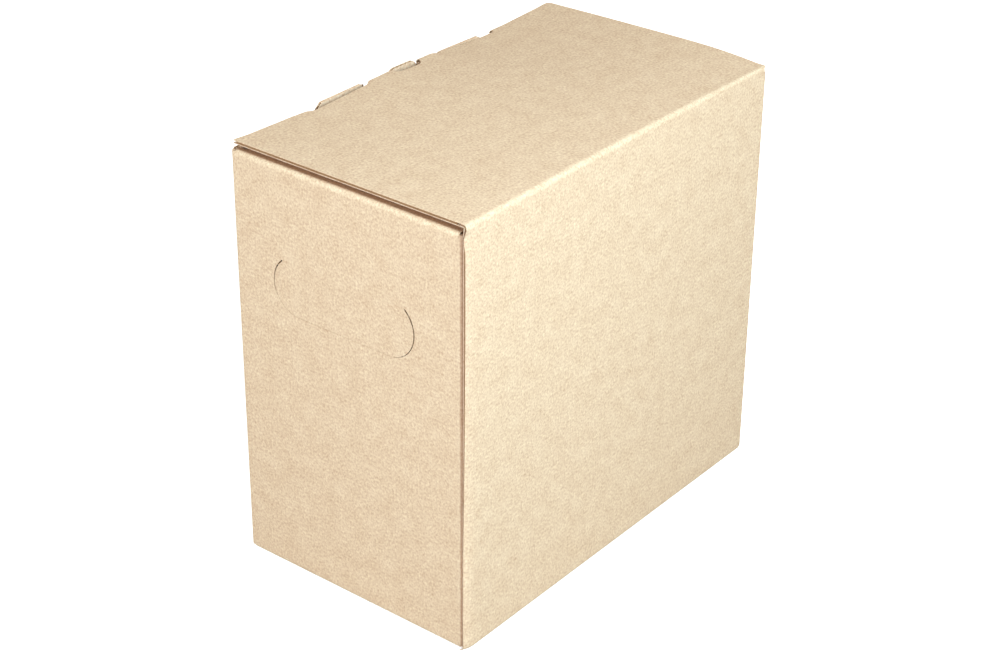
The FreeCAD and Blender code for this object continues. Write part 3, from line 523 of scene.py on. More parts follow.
class Nodes:
    """Short ways to add and join nodes in one tree."""

    def __init__(self, tree):
        self.tree = tree

    def put(self, kind, values=None, **settings):
        node = self.tree.nodes.new(kind)
        for name, setting in settings.items():
            setattr(node, name, setting)
        for name, given in (values or {}).items():
            self.feed(node.inputs[name], given)
        return node

    def feed(self, socket, given):
        if isinstance(given, bpy.types.NodeSocket):
            self.tree.links.new(given, socket)
        else:
            socket.default_value = given

    def socket(self, name, kind, way="INPUT"):
        return self.tree.interface.new_socket(name, in_out=way, socket_type="NodeSocket" + kind)

    def math(self, operation, *given):
        return self.put("ShaderNodeMath", dict(enumerate(given)), operation=operation).outputs[0]

    def plus(self, value, amount, share):
        """The value and a share of the amount."""
        return self.math("ADD", value, self.math("MULTIPLY", amount, share))

    def vector(self, x, y, z):
        return self.put("ShaderNodeCombineXYZ", {"X": x, "Y": y, "Z": z}).outputs[0]

    def mix(self, factor, a, b, blend="MIX"):
        node = self.put("ShaderNodeMix", {0: factor}, data_type="RGBA", blend_type=blend)
        self.feed(node.inputs[6], a)
        self.feed(node.inputs[7], b)
        return node.outputs[2]

    def noise(self, vector, scale, detail=2.0, roughness=0.5):
        values = {"Vector": vector, "Scale": scale, "Detail": detail, "Roughness": roughness}
        return self.put("ShaderNodeTexNoise", values).outputs["Fac"]

    def mapped(self, vector, scale=(1, 1, 1), turn=(0, 0, 0)):
        return self.put("ShaderNodeMapping", {"Vector": vector, "Scale": scale, "Rotation": turn}).outputs[0]

    def spread(self, value, low, high, to_low=0.0, to_high=1.0):
        values = {"Value": value, "From Min": low, "From Max": high, "To Min": to_low, "To Max": to_high}
        return self.put("ShaderNodeMapRange", values).outputs[0]

    def principled(self, values):
        """The surface of a material, from its Principled BSDF's values."""
        surface = self.put("ShaderNodeBsdfPrincipled", values)
        self.put("ShaderNodeOutputMaterial", {"Surface": surface.outputs[0]})

    def backdrop_rays(self):
        """1 for rays that see the white surroundings: from the camera, in a gloss or through glass."""
        rays = self.put("ShaderNodeLightPath").outputs
        return self.math("MAXIMUM", rays["Is Camera Ray"],
                         self.math("MAXIMUM", rays["Is Glossy Ray"], rays["Is Transmission Ray"]))


def flute_tree(board):
    """Geometry nodes: one wave of fluted paper on every point, turned and stretched as the point says."""
    n = Nodes(bpy.data.node_groups.new("flutes", "GeometryNodeTree"))
    n.socket("Geometry", "Geometry")
    for name, size in (("Pitch", board.flute_pitch), ("Paper", board.flute_paper),
                       ("Rise", board.thickness - 2 * board.liner - board.flute_paper)):
        n.socket(name, "Float").default_value = size
    n.socket("Material", "Material")
    n.socket("Geometry", "Geometry", "OUTPUT")
    given = n.put("NodeGroupInput").outputs
    size = n.vector(given["Pitch"], 1.0, given["Paper"])
    strip = n.put("GeometryNodeMeshCube", {"Size": size, "Vertices X": 9}).outputs["Mesh"]
    place = n.put("GeometryNodeInputPosition").outputs[0]
    across = n.put("ShaderNodeSeparateXYZ", {0: place}).outputs["X"]
    turn = n.math("MULTIPLY", n.math("DIVIDE", across, given["Pitch"]), 2 * math.pi)
    lift = n.math("MULTIPLY", n.math("COSINE", turn), n.math("MULTIPLY", given["Rise"], -0.5))
    wave = n.put("GeometryNodeSetPosition", {"Geometry": strip, "Offset": n.vector(0.0, 0.5, lift)})
    kept = {name: n.put("GeometryNodeInputNamedAttribute", {"Name": name}, data_type="FLOAT_VECTOR")
            for name in ("turn", "stretch")}
    rotation = n.put("FunctionNodeEulerToRotation", {0: kept["turn"].outputs["Attribute"]}).outputs[0]
    copies = n.put("GeometryNodeInstanceOnPoints", {
        "Points": given["Geometry"], "Instance": wave.outputs["Geometry"], "Rotation": rotation,
        "Scale": kept["stretch"].outputs["Attribute"]})
    real = n.put("GeometryNodeRealizeInstances", {"Geometry": copies.outputs[0]}).outputs[0]
    paint = n.put("GeometryNodeSetMaterial", {"Geometry": real, "Material": given["Material"]})
    n.put("NodeGroupOutput", {"Geometry": paint.outputs["Geometry"]})
    return n.tree


def grow_flutes(name, frames, board):
    """Runs the flute tree on its points and keeps the result as a plain mesh."""
    places, turns, stretches = (np.concatenate(rows) for rows in zip(*frames))
    mesh = bpy.data.meshes.new(name + "_points")
    mesh.from_pydata(places.tolist(), [], [])
    for key, rows in (("turn", turns), ("stretch", stretches)):
        attribute = mesh.attributes.new(key, "FLOAT_VECTOR", "POINT")
        attribute.data.foreach_set("vector", rows.astype(np.float32).ravel())
    carrier = linked(name, mesh)
    if "flutes" not in BUILT:
        BUILT["flutes"] = flute_tree(board)
    modifier = carrier.modifiers.new("flutes", "NODES")
    modifier.node_group = BUILT["flutes"]
    values = {"Material": BUILT["flute"], "Pitch": board.flute_pitch}
    for item in modifier.node_group.interface.items_tree:
        if item.in_out == "INPUT" and item.name in values:
            modifier[item.identifier] = values[item.name]
    plain = applied(carrier)
    for key in ("turn", "stretch"):
        if key in plain.attributes:
            plain.attributes.remove(plain.attributes[key])
    finish_mesh(plain, 40)
    return carrier


# ---------------------------------------------------------------- the blank's places

class Blank:
    """Maps the flat blank (u round the walls, v up them, w into the board) to the folded carton."""

    # shares of the lock wall's bow at places along it, in metres from the middle, and where the bow starts
    BOW_PLACES = np.array([-0.015, 0.0, 0.010, 0.035, 0.047, 0.062, 0.076, 0.092, 0.112, 0.132])
    BOW_SHARES = np.array([0.0, 0.08, 0.2, 0.5, 0.62, 0.85, 1.0, 0.8, 0.4, 0.0])
    BOW_START, BOW_TOP = 0.12, 8 * MM
    # shares of the glued edge's pull at heights above the ground, in metres
    JOINT_HEIGHTS = np.array([0.0, 0.02, 0.06, 0.13, 0.20, 0.244, 0.2515, 0.257])
    JOINT_SHARES = np.array([0.95, 1.0, 0.95, 0.5, 0.28, 0.28, 0.85, 0.0])
    JOINT_INNER = 0.35
    # shares of the lid's sag along its free edge, from its front corner at -1 to its back corner at 1
    SAG_KNOTS = np.array([-1.0, -0.6, -0.1, 0.14, 0.5, 0.66, 0.85, 1.0])
    SAG_SHARES = np.array([0.0, 0.45, 0.0, 0.2, 1.0, 1.05, 0.85, 0.6])

    def __init__(self, box):
        self.board, self.carton, self.lid = box.board, box.carton, box.lid
        board, carton = box.board, box.carton
        _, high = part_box("carton")
        self.half_width, self.half_length = high.x, high.y
        radius = board.fold_radius
        self.radius = radius
        self.arc = radius * math.pi / 2
        wide, long = self.half_width - radius, self.half_length - radius
        joint = self.half_width - board.thickness
        front_run = wide + joint - radius
        self.ring = Strip((joint, -self.half_length + carton.glue_flap), -90, 0.0)
        self.ring.line(carton.glue_flap - radius).fold(radius, 90)
        self.front = self.ring.at_length
        self.ring.line(front_run).fold(radius, 90)
        self.left = self.ring.at_length
        self.ring.line(2 * long).fold(radius, 90)
        self.back = self.ring.at_length
        self.ring.line(2 * wide).fold(radius, 90)
        self.right = self.ring.at_length
        self.ring.line(long + self.half_length - carton.raw_edge_step)
        self.end = self.ring.at_length

        self.foot = board.thickness + radius
        top = carton.lid_height - carton.end_drop
        slope = math.atan2(carton.dust_rise, carton.dust_flap)
        turn = math.pi / 2 - slope
        tangent = radius * math.tan(turn / 2)
        self.head = top - radius
        rise = math.atan2(board.thickness, carton.fold_rise)
        foot_turn = math.pi / 2 + rise
        foot_tangent = radius * math.tan(foot_turn / 2)
        climb = math.hypot(board.thickness, carton.fold_rise) - foot_tangent
        flat_run = carton.inner_foot - carton.fold_rise
        self.foot_end = foot_tangent - radius * foot_turn - climb - flat_run
        self.end_strip = Strip((carton.inner_foot, board.thickness), 180, self.foot_end)
        self.end_strip.line(flat_run).bend_back(math.degrees(rise)).line(climb)
        self.end_strip.fold(radius, math.degrees(foot_turn)).line(top - tangent - foot_tangent)
        self.end_strip.fold(radius, math.degrees(turn))
        self.dust_start = self.end_strip.at_length
        self.dust_end = self.dust_start + math.hypot(carton.dust_flap, carton.dust_rise) - tangent
        self.end_strip.line(self.dust_end - self.dust_start)
        self.dust_slope = slope
        self.dust_tangent = tangent * math.cos(slope)

        under = self.half_width - carton.meeting_gap / 2
        self.side_foot_end = radius - self.arc - (under - radius)
        self.side_strip = Strip((under, 0.0), 180, self.side_foot_end)
        self.side_strip.line(under - radius).fold(radius, 90).line(carton.lid_height)

        lid = box.lid
        lean = math.degrees(math.atan2(lid.tuck_lean, lid.tuck_depth))
        bend = lid.tuck_radius * math.tan(math.radians(90 + lean) / 2)
        self.seam_v = lid.seam_below
        self.lid_strip = Strip((0.0, lid.seam_below), 90, lid.seam_below)
        self.lid_strip.line(carton.lid_height - radius - lid.seam_below).fold(radius, 90)
        self.lid_start = self.lid_strip.at_length
        self.lid_strip.line(self.half_width - radius - (lid.edge + bend))
        self.tuck_fold = self.lid_strip.at_length
        self.flat_end = self.half_width - (lid.edge + bend)
        self.lid_strip.fold(lid.tuck_radius, 90 + lean)
        self.tuck_start = self.lid_strip.at_length
        self.tuck_end = self.tuck_start + math.hypot(lid.tuck_lean, lid.tuck_depth) - bend
        self.lid_strip.line(self.tuck_end - self.tuck_start)

    def panels(self):
        """Each wall's first and last u, its outer corner, u's direction, the inward normal and its strip."""
        wide, long = self.half_width - self.radius, self.half_length - self.radius
        joint = self.half_width - self.board.thickness - self.radius
        return (
            (self.front, self.left - self.arc, (joint, -self.half_length), (-1, 0), (0, 1), self.end_strip),
            (self.left, self.back - self.arc, (-self.half_width, -long), (0, 1), (1, 0), self.side_strip),
            (self.back, self.right - self.arc, (-wide, self.half_length), (1, 0), (0, -1), self.end_strip),
            (self.right, self.end, (self.half_width, long), (0, -1), (-1, 0), self.side_strip),
        )

    def place(self, u, v, w):
        """Points of the carton's board."""
        out = np.zeros((len(u), 3))
        out[:, :2] = self.ring.place(u, w)
        out[:, 2] = v
        for first, last, corner, ahead, inward, strip in self.panels():
            chosen = (u >= first - 1e-7) & (u <= last + 1e-7)
            if not chosen.any():
                continue
            run = u[chosen] - first
            bent = strip.place(v[chosen], w[chosen])
            bent[:, 0] += self.pushed(ahead, run, v[chosen], w[chosen])
            for axis in range(2):
                out[chosen, axis] = corner[axis] + run * ahead[axis] + bent[:, 0] * inward[axis]
            out[chosen, 2] = bent[:, 1]
        return out

    def pushed(self, ahead, run, v, w):
        """How far a side wall lies inwards: the lock wall bows in, and the glued raw edge is drawn in."""
        if ahead[1] > 0:
            return self.bowed(run - (self.half_length - self.radius), v)
        if ahead[1] < 0:
            return self.joint(self.right + run, v, w)
        return np.zeros(len(run))

    def bowed(self, y, z):
        """How far the lock wall and the tuck flap behind it bow inwards."""
        height = self.carton.lid_height - (self.BOW_START + self.BOW_TOP)
        rise = np.clip((z - self.BOW_START) / height, 0, 1) ** 1.5
        return self.carton.bow * np.interp(y, self.BOW_PLACES, self.BOW_SHARES) * rise

    def joint(self, u, v, w):
        """How far the side wall's raw edge is drawn in and pressed at the glued corner, at each height."""
        carton = self.carton
        near = np.clip(1 - (self.end - u) / carton.joint_run, 0, 1) ** 2
        pressed = self.JOINT_INNER + (1 - self.JOINT_INNER) * (1 - w / self.board.thickness)
        return near * np.interp(v, self.JOINT_HEIGHTS, self.JOINT_SHARES) * carton.joint_pull * pressed

    def lid_place(self, u, v, w):
        """Points of the lid, its fold and its tuck flap, with the slight sag of its free edge."""
        bent = self.lid_strip.place(v, w)
        y = self.half_length - self.radius - (u - self.right)
        beyond = np.clip((-y - self.lid.tuck_end) / (0.5 * MM), 0, 1) * (v > self.tuck_fold)
        straight = np.stack([self.flat_end + v - self.tuck_fold, self.carton.lid_height - w], axis=1)
        bent += (straight - bent) * beyond[:, None]
        out = np.stack([self.half_width - bent[:, 0], y, bent[:, 1]], axis=1)
        out[:, 0] -= self.joint(u, np.minimum(v, self.lid_start), w)
        x, z = out[:, 0], out[:, 2]
        margin = 8 * MM
        across = np.clip((self.half_width - margin - x) / (2 * self.half_width - 2 * margin), 0, 1)
        down = self.lid.sag * across ** 2 * self.edge_drop(y / self.half_length)
        below = np.clip((self.carton.lid_height - self.board.thickness - z) / (4 * MM), 0, 1)
        out[:, 0] += self.bowed(y, z) * below * (v > self.lid_start)
        front = np.clip((-y - 80 * MM) / (8 * MM), 0, 1)
        out[:, 0] -= self.lid.overhang * front * (1 - below) * across ** 4
        bent_in = np.clip((x - 30 * MM) / (45 * MM), 0, 1) ** 2 * np.clip(y / self.half_length, 0, 1) ** 1.5
        climbed = np.clip((v - self.seam_v) / (self.lid_start - self.seam_v), 0, 1)
        out[:, 2] -= down + self.lid.hinge_drop * bent_in * climbed
        return out

    def edge_drop(self, t):
        """Share of the sag along the lid's free edge, eased from knot to knot."""
        knots, shares = self.SAG_KNOTS, self.SAG_SHARES
        i = np.clip(np.searchsorted(knots, t, side="right") - 1, 0, len(knots) - 2)
        way = np.clip((t - knots[i]) / (knots[i + 1] - knots[i]), 0, 1)
        way = way * way * (3 - 2 * way)
        return shares[i] + (shares[i + 1] - shares[i]) * way

    def u_front(self, x):
        joint = self.half_width - self.board.thickness - self.radius
        return self.front + joint - x

    def u_back(self, x):
        return self.back + x + self.half_width - self.radius

    def u_left(self, y):
        return self.left + y + self.half_length - self.radius

    def u_right(self, y):
        return self.right + self.half_length - self.radius - y

    def v_dust(self, inward):
        """Height on the blank of a point that lies this far in from the end face on a dust flap."""
        return self.dust_start + (inward - self.dust_tangent) / math.cos(self.dust_slope)

    def v_lid(self, x):
        return self.lid_start + self.half_width - self.radius - x


def end_flap_edges(blank, u_of, top):
    """Corners of an end wall's dust flap or inner bottom flap, from its right side to its left."""
    carton, board = blank.carton, blank.board
    right = blank.half_width - 2 * board.thickness - carton.dust_gap
    left = -blank.half_width + board.thickness + carton.dust_gap
    if not top:
        return [(u_of(right), blank.foot), (u_of(right), blank.foot_end), (u_of(left), blank.foot_end),
                (u_of(left), blank.foot)]
    relief = -blank.half_width + board.thickness + carton.dust_relief
    start = blank.v_dust(board.thickness + 2.5 * MM)
    return [(u_of(right), blank.head), (u_of(right), blank.dust_end),
            (u_of(relief + carton.dust_corner), blank.dust_end), (u_of(relief), start),
            (u_of(left), start), (u_of(left), blank.head)]


def hand_hole_loop(hole, u_of, gap, slip, drop, lift, steps=14):
    """Outline of the hand hole's cut; lift carries its top above the crease."""
    radius = hole.height / 2 + gap
    straight = hole.width / 2 - hole.height / 2
    crease = math.degrees(hole.crease)
    points = []
    for side in (1, -1):
        centre = hole.shift + slip + side * straight
        angles = np.radians(np.linspace(-90, crease, steps + 1))
        if side < 0:
            angles = angles[::-1]
        for turn in angles:
            reach, rise = radius * math.cos(turn), radius * math.sin(turn)
            points.append((u_of(centre + side * reach), hole.middle - drop + rise))
        if lift and side > 0:
            level = crease_height(hole) + lift
            for way in (1, -1):
                end = u_of(hole.shift + way * (straight + radius * math.cos(hole.crease)))
                points += [(end, crease_height(hole)), (end, level)][::way]
    return points


def crease_height(hole):
    return hole.middle + hole.height / 2 * math.sin(hole.crease)


def wall_hole_loop(hole, u_of):
    """The opening in the end wall: the cut, and above it the strip that bends with the flap."""
    loop = hand_hole_loop(hole, u_of, hole.gap, 0.0, 0.0, 0.0)
    split = len(loop) // 2
    radius = hole.height / 2
    right = hole.shift + hole.width / 2 - radius + radius * math.cos(hole.crease)
    left = hole.shift - hole.width / 2 + radius - radius * math.cos(hole.crease)
    top = crease_height(hole)
    above = top + hole.strip
    strip = [(u_of(right), top), (u_of(right), above), (u_of(left), above), (u_of(left), top)]
    return loop[:split] + strip + loop[split:]


def door_slits(blank, carton):
    """Perforation cuts round the tear-out door in the back wall."""
    loops = []
    low = carton.door_middle - carton.door_height / 2
    half = carton.slit_length / 2
    thin = carton.slit_width / 2

    def slit(x, z, along, up):
        corners = ((-1, -1), (1, -1), (1, 1), (-1, 1))
        loops.append([(blank.u_back(x + a * along), z + b * up) for a, b in corners])

    for i in range(carton.slits):
        share = (i + 0.5) / carton.slits
        for side in (-1, 1):
            slit(side * carton.door_width / 2, low + share * carton.door_height, thin, half)
            level = carton.door_middle + side * carton.door_height / 2
            slit((share - 0.5) * carton.door_width, level, half, thin)
    return loops


def carton_loop(blank):
    """The blank's outline, from the glue flap round the upper edges and back along the lower ones."""
    carton = blank.carton
    top = carton.lid_height - carton.end_drop
    back_top = carton.lid_height - carton.tab_drop
    front_top = back_top + carton.front_tab_rise
    tongue = carton.lid_height - carton.tongue_drop
    start = carton.tongue_shift - carton.tongue_width / 2
    end = carton.tongue_shift + carton.tongue_width / 2
    near, far, slant, steep = carton.tab_near, carton.tab_far, carton.tab_slant, 1 * MM
    head, foot = blank.head, blank.foot
    high, low = head + carton.corner_rise, foot - carton.corner_rise

    def corner(last, before, reach, after):
        """A rounded corner of the walls, whose outline runs further than the walls beside it."""
        return [(last - blank.arc, before), (last - blank.arc, reach), (last, reach), (last, after)]

    upper = [(0.0, head)] + corner(blank.front, head, high, head)
    upper += end_flap_edges(blank, blank.u_front, True) + corner(blank.left, head, high, top)
    for y, z, radius in (
            (-far, top, 0), (-far + slant, front_top, 0), (-near - steep, front_top, 0), (-near, top, 0),
            (start, top, 0), (start, tongue, carton.tongue_corner), (end, tongue, carton.tongue_corner),
            (end, top, 0),
            (near, top, 0), (near + steep, back_top, 0), (far - slant, back_top, 0), (far, top, 0)):
        upper.append((blank.u_left(y), z, radius))
    upper += corner(blank.back, top, high, head) + end_flap_edges(blank, blank.u_back, True)[::-1]
    upper += corner(blank.right, head, high, blank.seam_v) + [(blank.end, blank.seam_v)]
    half = blank.half_length - carton.foot_set_back
    bent, flap_end = blank.radius - blank.arc, blank.side_foot_end

    def foot_flap(u_of, first, last):
        return [(u_of(first), bent), (u_of(first), flap_end), (u_of(last), flap_end), (u_of(last), bent)]

    lower = [(blank.end, bent)] + foot_flap(blank.u_right, -half, half)
    lower += corner(blank.right, foot, low, bent)[::-1] + end_flap_edges(blank, blank.u_back, False)
    lower += corner(blank.back, bent, low, foot)[::-1] + foot_flap(blank.u_left, half, -half)
    lower += corner(blank.left, foot, low, bent)[::-1] + end_flap_edges(blank, blank.u_front, False)[::-1]
    lower += corner(blank.front, foot, low, foot)[::-1] + [(0.0, foot)]
    return rounded(upper + lower)


def lid_loop(blank):
    """Outline of the lid's stiff panel with its tuck flap; slots and notch are loops of their own."""
    lid = blank.lid
    seam = blank.v_lid(lid.seam)
    bend = blank.tuck_fold
    near, far = blank.u_right(-lid.half_length), blank.u_right(lid.half_length)
    tuck_near, tuck_far = blank.u_right(-lid.tuck_end), blank.u_right(lid.tuck_end)
    return rounded([
        (far, seam), (far, bend, 4.0 * MM), (tuck_far, bend + 1.5 * MM),
        (tuck_far, blank.tuck_end, lid.tuck_corner), (tuck_near, blank.tuck_end, lid.tuck_corner),
        (tuck_near, bend + lid.corner_reach), (near, bend + lid.corner_reach, 0.8 * MM), (near, seam)])


def lid_cuts(blank):
    """Outlines of the two lock slots and the thumb notch, which run over the tuck flap's fold."""
    lid = blank.lid
    below = blank.tuck_start + (lid.slot_reach - lid.tuck_radius)
    outer = blank.tuck_fold + 2.0 * MM
    edge = blank.v_lid(lid.slot_edge)
    loops = []
    for side, run, slant in ((-1, 0.0, lid.far_slant), (1, lid.back_run, lid.back_slant)):
        far = lid.slot_far + run
        corners = ((lid.slot_near + lid.near_slant, edge), (far - slant, edge),
                   (far, outer), (far, below), (lid.slot_near, below), (lid.slot_near, outer))
        loops.append([(blank.u_right(lid.slot_shift + side * y), v) for y, v in corners])
    edge = blank.v_lid(lid.notch_edge)
    start, end = blank.u_right(lid.notch_start), blank.u_right(lid.notch_end)
    loops.append(rounded([(start, edge, lid.notch_corner), (end, edge, lid.notch_corner), (end, below),
                          (start, below)]))
    return loops


def joint_lines(blank, low, high, shares):
    """Finer mesh lines where the wall is drawn in beside its raw edge."""
    return [(blank.end - blank.carton.joint_run * share, low, high) for share in shares]


def panel_lines(blank):
    """Mesh lines of the carton's blank: finer across folds, even on flat panels."""
    grid = blank.board.grid
    low, high = blank.foot_end, blank.dust_end
    across = [(u, low - LINE_END, high + LINE_END) for u in blank.ring.folds(blank.board.fold_steps)]
    for first, last, _, _, _, _ in blank.panels():
        across += [(u, low, high) for u in grid_lines(first, last, grid)]
    across += joint_lines(blank, low, high, (0.06, 0.12, 0.2, 0.3, 0.45, 0.65, 1.0))
    along = [(v, -LINE_END, blank.end + LINE_END) for v in grid_lines(blank.foot, blank.head, grid)]
    along += [(v, blank.end - blank.carton.joint_run, blank.end + LINE_END)
              for v in grid_lines(blank.radius, blank.seam_v, 4 * MM)]
    steps = blank.board.fold_steps
    for first, last, _, _, _, strip in blank.panels():
        along += [(v, first, last) for v in strip.folds(steps)]
    return across, along


# ---------------------------------------------------------------- materials

def srgb(r, g, b):
    """A colour as seen on screen, 0 to 255, as the linear numbers that nodes take."""
    def linear(x):
        x /= 255
        return x / 12.92 if x <= 0.04045 else ((x + 0.055) / 1.055) ** 2.4
    return (linear(r), linear(g), linear(b), 1.0)


def paper_group():
    """Node group: kraft paper's colour and height from a place on the sheet and the sheet's own colour."""
    if "paper" in BUILT:
        return BUILT["paper"]
    n = Nodes(bpy.data.node_groups.new("paper", "ShaderNodeTree"))
    n.socket("Vector", "Vector")
    n.socket("Color", "Color")
    n.socket("Grain", "Float").default_value = 1.0
    n.socket("Color", "Color", "OUTPUT")
    n.socket("Height", "Float", "OUTPUT")
    given = n.put("NodeGroupInput").outputs
    place = given["Vector"]
    cloud = n.noise(n.mapped(place), 95.0, 3.0, 0.6)
    mottle = n.noise(n.mapped(place, (1.1, 0.9, 1)), 520.0, 2.0, 0.6)
    speck = n.noise(n.mapped(place, (1.1, 0.9, 1)), 800.0, 2.0, 0.6)
    fibre = n.noise(n.mapped(place, (0.22, 2.2, 1), (0, 0, 0.35)), 1500.0, 1.0, 0.5)
    other = n.noise(n.mapped(place, (0.25, 2.0, 1), (0, 0, -0.6)), 1300.0, 1.0, 0.5)
    total = n.math("MULTIPLY", n.math("SUBTRACT", cloud, 0.5), 0.34)
    total = n.plus(total, n.math("SUBTRACT", mottle, 0.5), 0.48)
    total = n.plus(total, n.math("SUBTRACT", speck, 0.5), 0.88)
    threads = n.math("MAXIMUM", n.spread(fibre, 0.62, 0.78), n.spread(other, 0.64, 0.80))
    total = n.math("SUBTRACT", total, n.math("MULTIPLY", threads, 0.10))
    total = n.math("MULTIPLY", total, given["Grain"])
    shade = n.vector(*(n.plus(1.0, total, share) for share in (0.75, 1.1, 1.35)))
    colour = n.mix(1.0, given["Color"], shade, "MULTIPLY")
    height = n.plus(n.math("MULTIPLY", speck, 0.5), mottle, 0.5)
    n.put("NodeGroupOutput", {"Color": colour, "Height": height})
    BUILT["paper"] = n.tree
    return n.tree


def shader(name):
    """A new material without nodes, and the means to add them."""
    material = bpy.data.materials.new(name)
    material.use_nodes = True
    material.node_tree.nodes.clear()
    return material, Nodes(material.node_tree)


def board_material(board, blank):
    """Kraft liner: mottled paper with the flutes' faint ribs, a greyer inner face, a painted highlight along
    the folds and painted shade under the lid and in the glued corner.
    """
    material, n = shader("kraft_board")
    flat = n.put("ShaderNodeAttribute", attribute_name="flat").outputs["Vector"]
    parts = n.put("ShaderNodeSeparateXYZ", {"Vector": flat}).outputs
    u, v, depth = parts["X"], parts["Y"], parts["Z"]
    is_inner = n.spread(depth, board.thickness * 0.45, board.thickness * 0.55)
    colour = n.mix(is_inner, srgb(240, 214, 181), srgb(240, 214, 186))
    # painted highlight: the folds' rounding is coloured paler, as if lit
    fold_highlight = n.put("ShaderNodeAttribute", attribute_name="fold").outputs["Fac"]
    colour = n.mix(n.math("MULTIPLY", fold_highlight, 0.55), colour, srgb(252, 234, 200))
    # the tabs' and the tongue's inner faces catch the light
    tabs = n.math("MULTIPLY", n.spread(u, blank.left, blank.left + 1 * MM),
                  n.spread(u, blank.back - blank.arc, blank.back - blank.arc - 1 * MM))
    tabs = n.math("MULTIPLY", tabs, n.spread(v, blank.head - 1 * MM, blank.head + 2 * MM))
    colour = n.mix(n.math("MULTIPLY", tabs, is_inner), colour, srgb(255, 226, 192))
    # painted shade: the front dust flap's crease is coloured dark brown where it lies in the lid's shade
    crease = n.math("MULTIPLY", n.spread(v, blank.dust_start - 1.2 * MM, blank.dust_start),
                    n.spread(v, blank.dust_start + 9 * MM, blank.dust_start + 4 * MM))
    crease = n.math("MULTIPLY", crease, n.spread(u, blank.left, blank.left - 1 * MM))
    colour = n.mix(n.math("MULTIPLY", crease, 0.7), colour, srgb(170, 122, 88))
    # painted shade: the glue flap's fold is coloured darker, as the shade in its pocket behind the side
    # wall's raw edge
    glued = n.spread(u, blank.front - 0.3 * MM, blank.front - 1.2 * MM)
    colour = n.mix(glued, colour, srgb(188, 154, 126))
    paper = n.put("ShaderNodeGroup", node_tree=paper_group())
    n.feed(paper.inputs["Vector"], flat)
    n.feed(paper.inputs["Color"], colour)
    ribs = n.math("COSINE", n.math("MULTIPLY", u, 2 * math.pi / board.flute_pitch))
    patch = n.noise(n.mapped(flat), 22.0, 2.0)
    ribs = n.math("MULTIPLY", ribs, n.spread(patch, 0.35, 0.7, 0.2, 1.0))
    tone = n.plus(1.0, ribs, 0.007)
    colour = n.mix(1.0, paper.outputs["Color"], n.vector(tone, tone, tone), "MULTIPLY")
    height = n.plus(n.math("MULTIPLY", ribs, 0.5), paper.outputs["Height"], 0.6)
    bump = n.put("ShaderNodeBump", {"Strength": 0.35, "Distance": 0.00012, "Height": height}).outputs[0]
    rough = n.spread(paper.outputs["Height"], 0.3, 0.7, 0.78, 0.9)
    n.principled({"Base Color": colour, "Roughness": rough, "Specular IOR Level": 0.25, "Normal": bump})
    return material


def flute_material():
    """Fluted sheet: browner, rougher paper."""
    material, n = shader("flute_paper")
    place = n.put("ShaderNodeTexCoord").outputs["Object"]
    paper = n.put("ShaderNodeGroup", {"Color": srgb(164, 128, 94), "Grain": 1.3}, node_tree=paper_group())
    n.feed(paper.inputs["Vector"], n.mapped(place))
    n.principled({"Base Color": paper.outputs["Color"], "Roughness": 0.92, "Specular IOR Level": 0.15})
    return material


def film_material():
    """Metallised film: silver with soft creases and a faint haze."""
    material, n = shader("metallised_film")
    place = n.mapped(n.put("ShaderNodeTexCoord").outputs["Object"])
    crinkle = n.noise(place, 140.0, 5.0, 0.62)
    haze = n.noise(place, 26.0, 3.0)
    fine = n.put("ShaderNodeTexVoronoi", {"Vector": place, "Scale": 170.0}, feature="DISTANCE_TO_EDGE")
    height = n.plus(crinkle, n.math("MINIMUM", fine.outputs[0], 0.08), 2.0)
    bump = n.put("ShaderNodeBump", {"Strength": 0.55, "Distance": 0.0006, "Height": height}).outputs[0]
    colour = n.mix(haze, srgb(196, 198, 203), srgb(226, 227, 230))
    rough = n.spread(n.noise(place, 60.0, 3.0), 0.3, 0.7, 0.22, 0.38)
    n.principled({"Base Color": colour, "Metallic": 0.9, "Roughness": rough, "Normal": bump})
    return material


def moulded_material(name, colour, deeper, rough, clear):
    """Moulded plastic or rubber: a slight orange peel, flow marks and handling marks."""
    material, n = shader(name)
    place = n.mapped(n.put("ShaderNodeTexCoord").outputs["Object"])
    flow = n.noise(n.mapped(place, (1, 0.3, 1)), 120.0, 2.0)
    peel = n.noise(place, 1400.0, 2.0)
    marks = n.noise(n.mapped(place, (1, 1, 3)), 420.0, 3.0, 0.7)
    shade = n.mix(n.spread(flow, 0.3, 0.7), colour, deeper)
    height = n.math("ADD", peel, marks)
    bump = n.put("ShaderNodeBump", {"Strength": 0.2, "Distance": 0.00004, "Height": height})
    n.principled({"Base Color": shade, "Roughness": n.spread(marks, 0.3, 0.75, rough - 0.06, rough + 0.1),
                  "Subsurface Weight": clear, "Subsurface Scale": 0.002, "Normal": bump.outputs[0]})
    return material


def floor_material():
    """White floor that shows white to the camera and in reflections, and keeps the object's shadow."""
    material, n = shader("white_floor")
    place = n.mapped(n.put("ShaderNodeTexCoord").outputs["Object"])
    tone = n.mix(n.noise(place, 3.0, 2.0), srgb(238, 238, 238), srgb(242, 242, 242))
    matt = n.put("ShaderNodeBsdfDiffuse", {"Color": n.mix(0.6, tone, srgb(120, 112, 104)), "Roughness": 0.6})
    pale = n.put("ShaderNodeBsdfDiffuse", {"Color": tone, "Roughness": 0.6})
    glow = n.put("ShaderNodeEmission", {"Color": (1, 1, 1, 1), "Strength": 0.84})
    both = n.put("ShaderNodeAddShader", {0: pale.outputs[0], 1: glow.outputs[0]})
    surface = n.put("ShaderNodeMixShader", {0: n.backdrop_rays(), 1: matt.outputs[0], 2: both.outputs[0]})
    n.put("ShaderNodeOutputMaterial", {"Surface": surface.outputs[0]})
    return material


# ---------------------------------------------------------------- pieces

def blank_of(context):
    """The flat blank, made once with the board's materials."""
    if "blank" not in BUILT:
        BUILT["blank"] = Blank(context.scene.bag_in_box)
        BUILT["kraft"] = board_material(context.scene.bag_in_box.board, BUILT["blank"])
        BUILT["flute"] = flute_material()
    return BUILT["blank"]


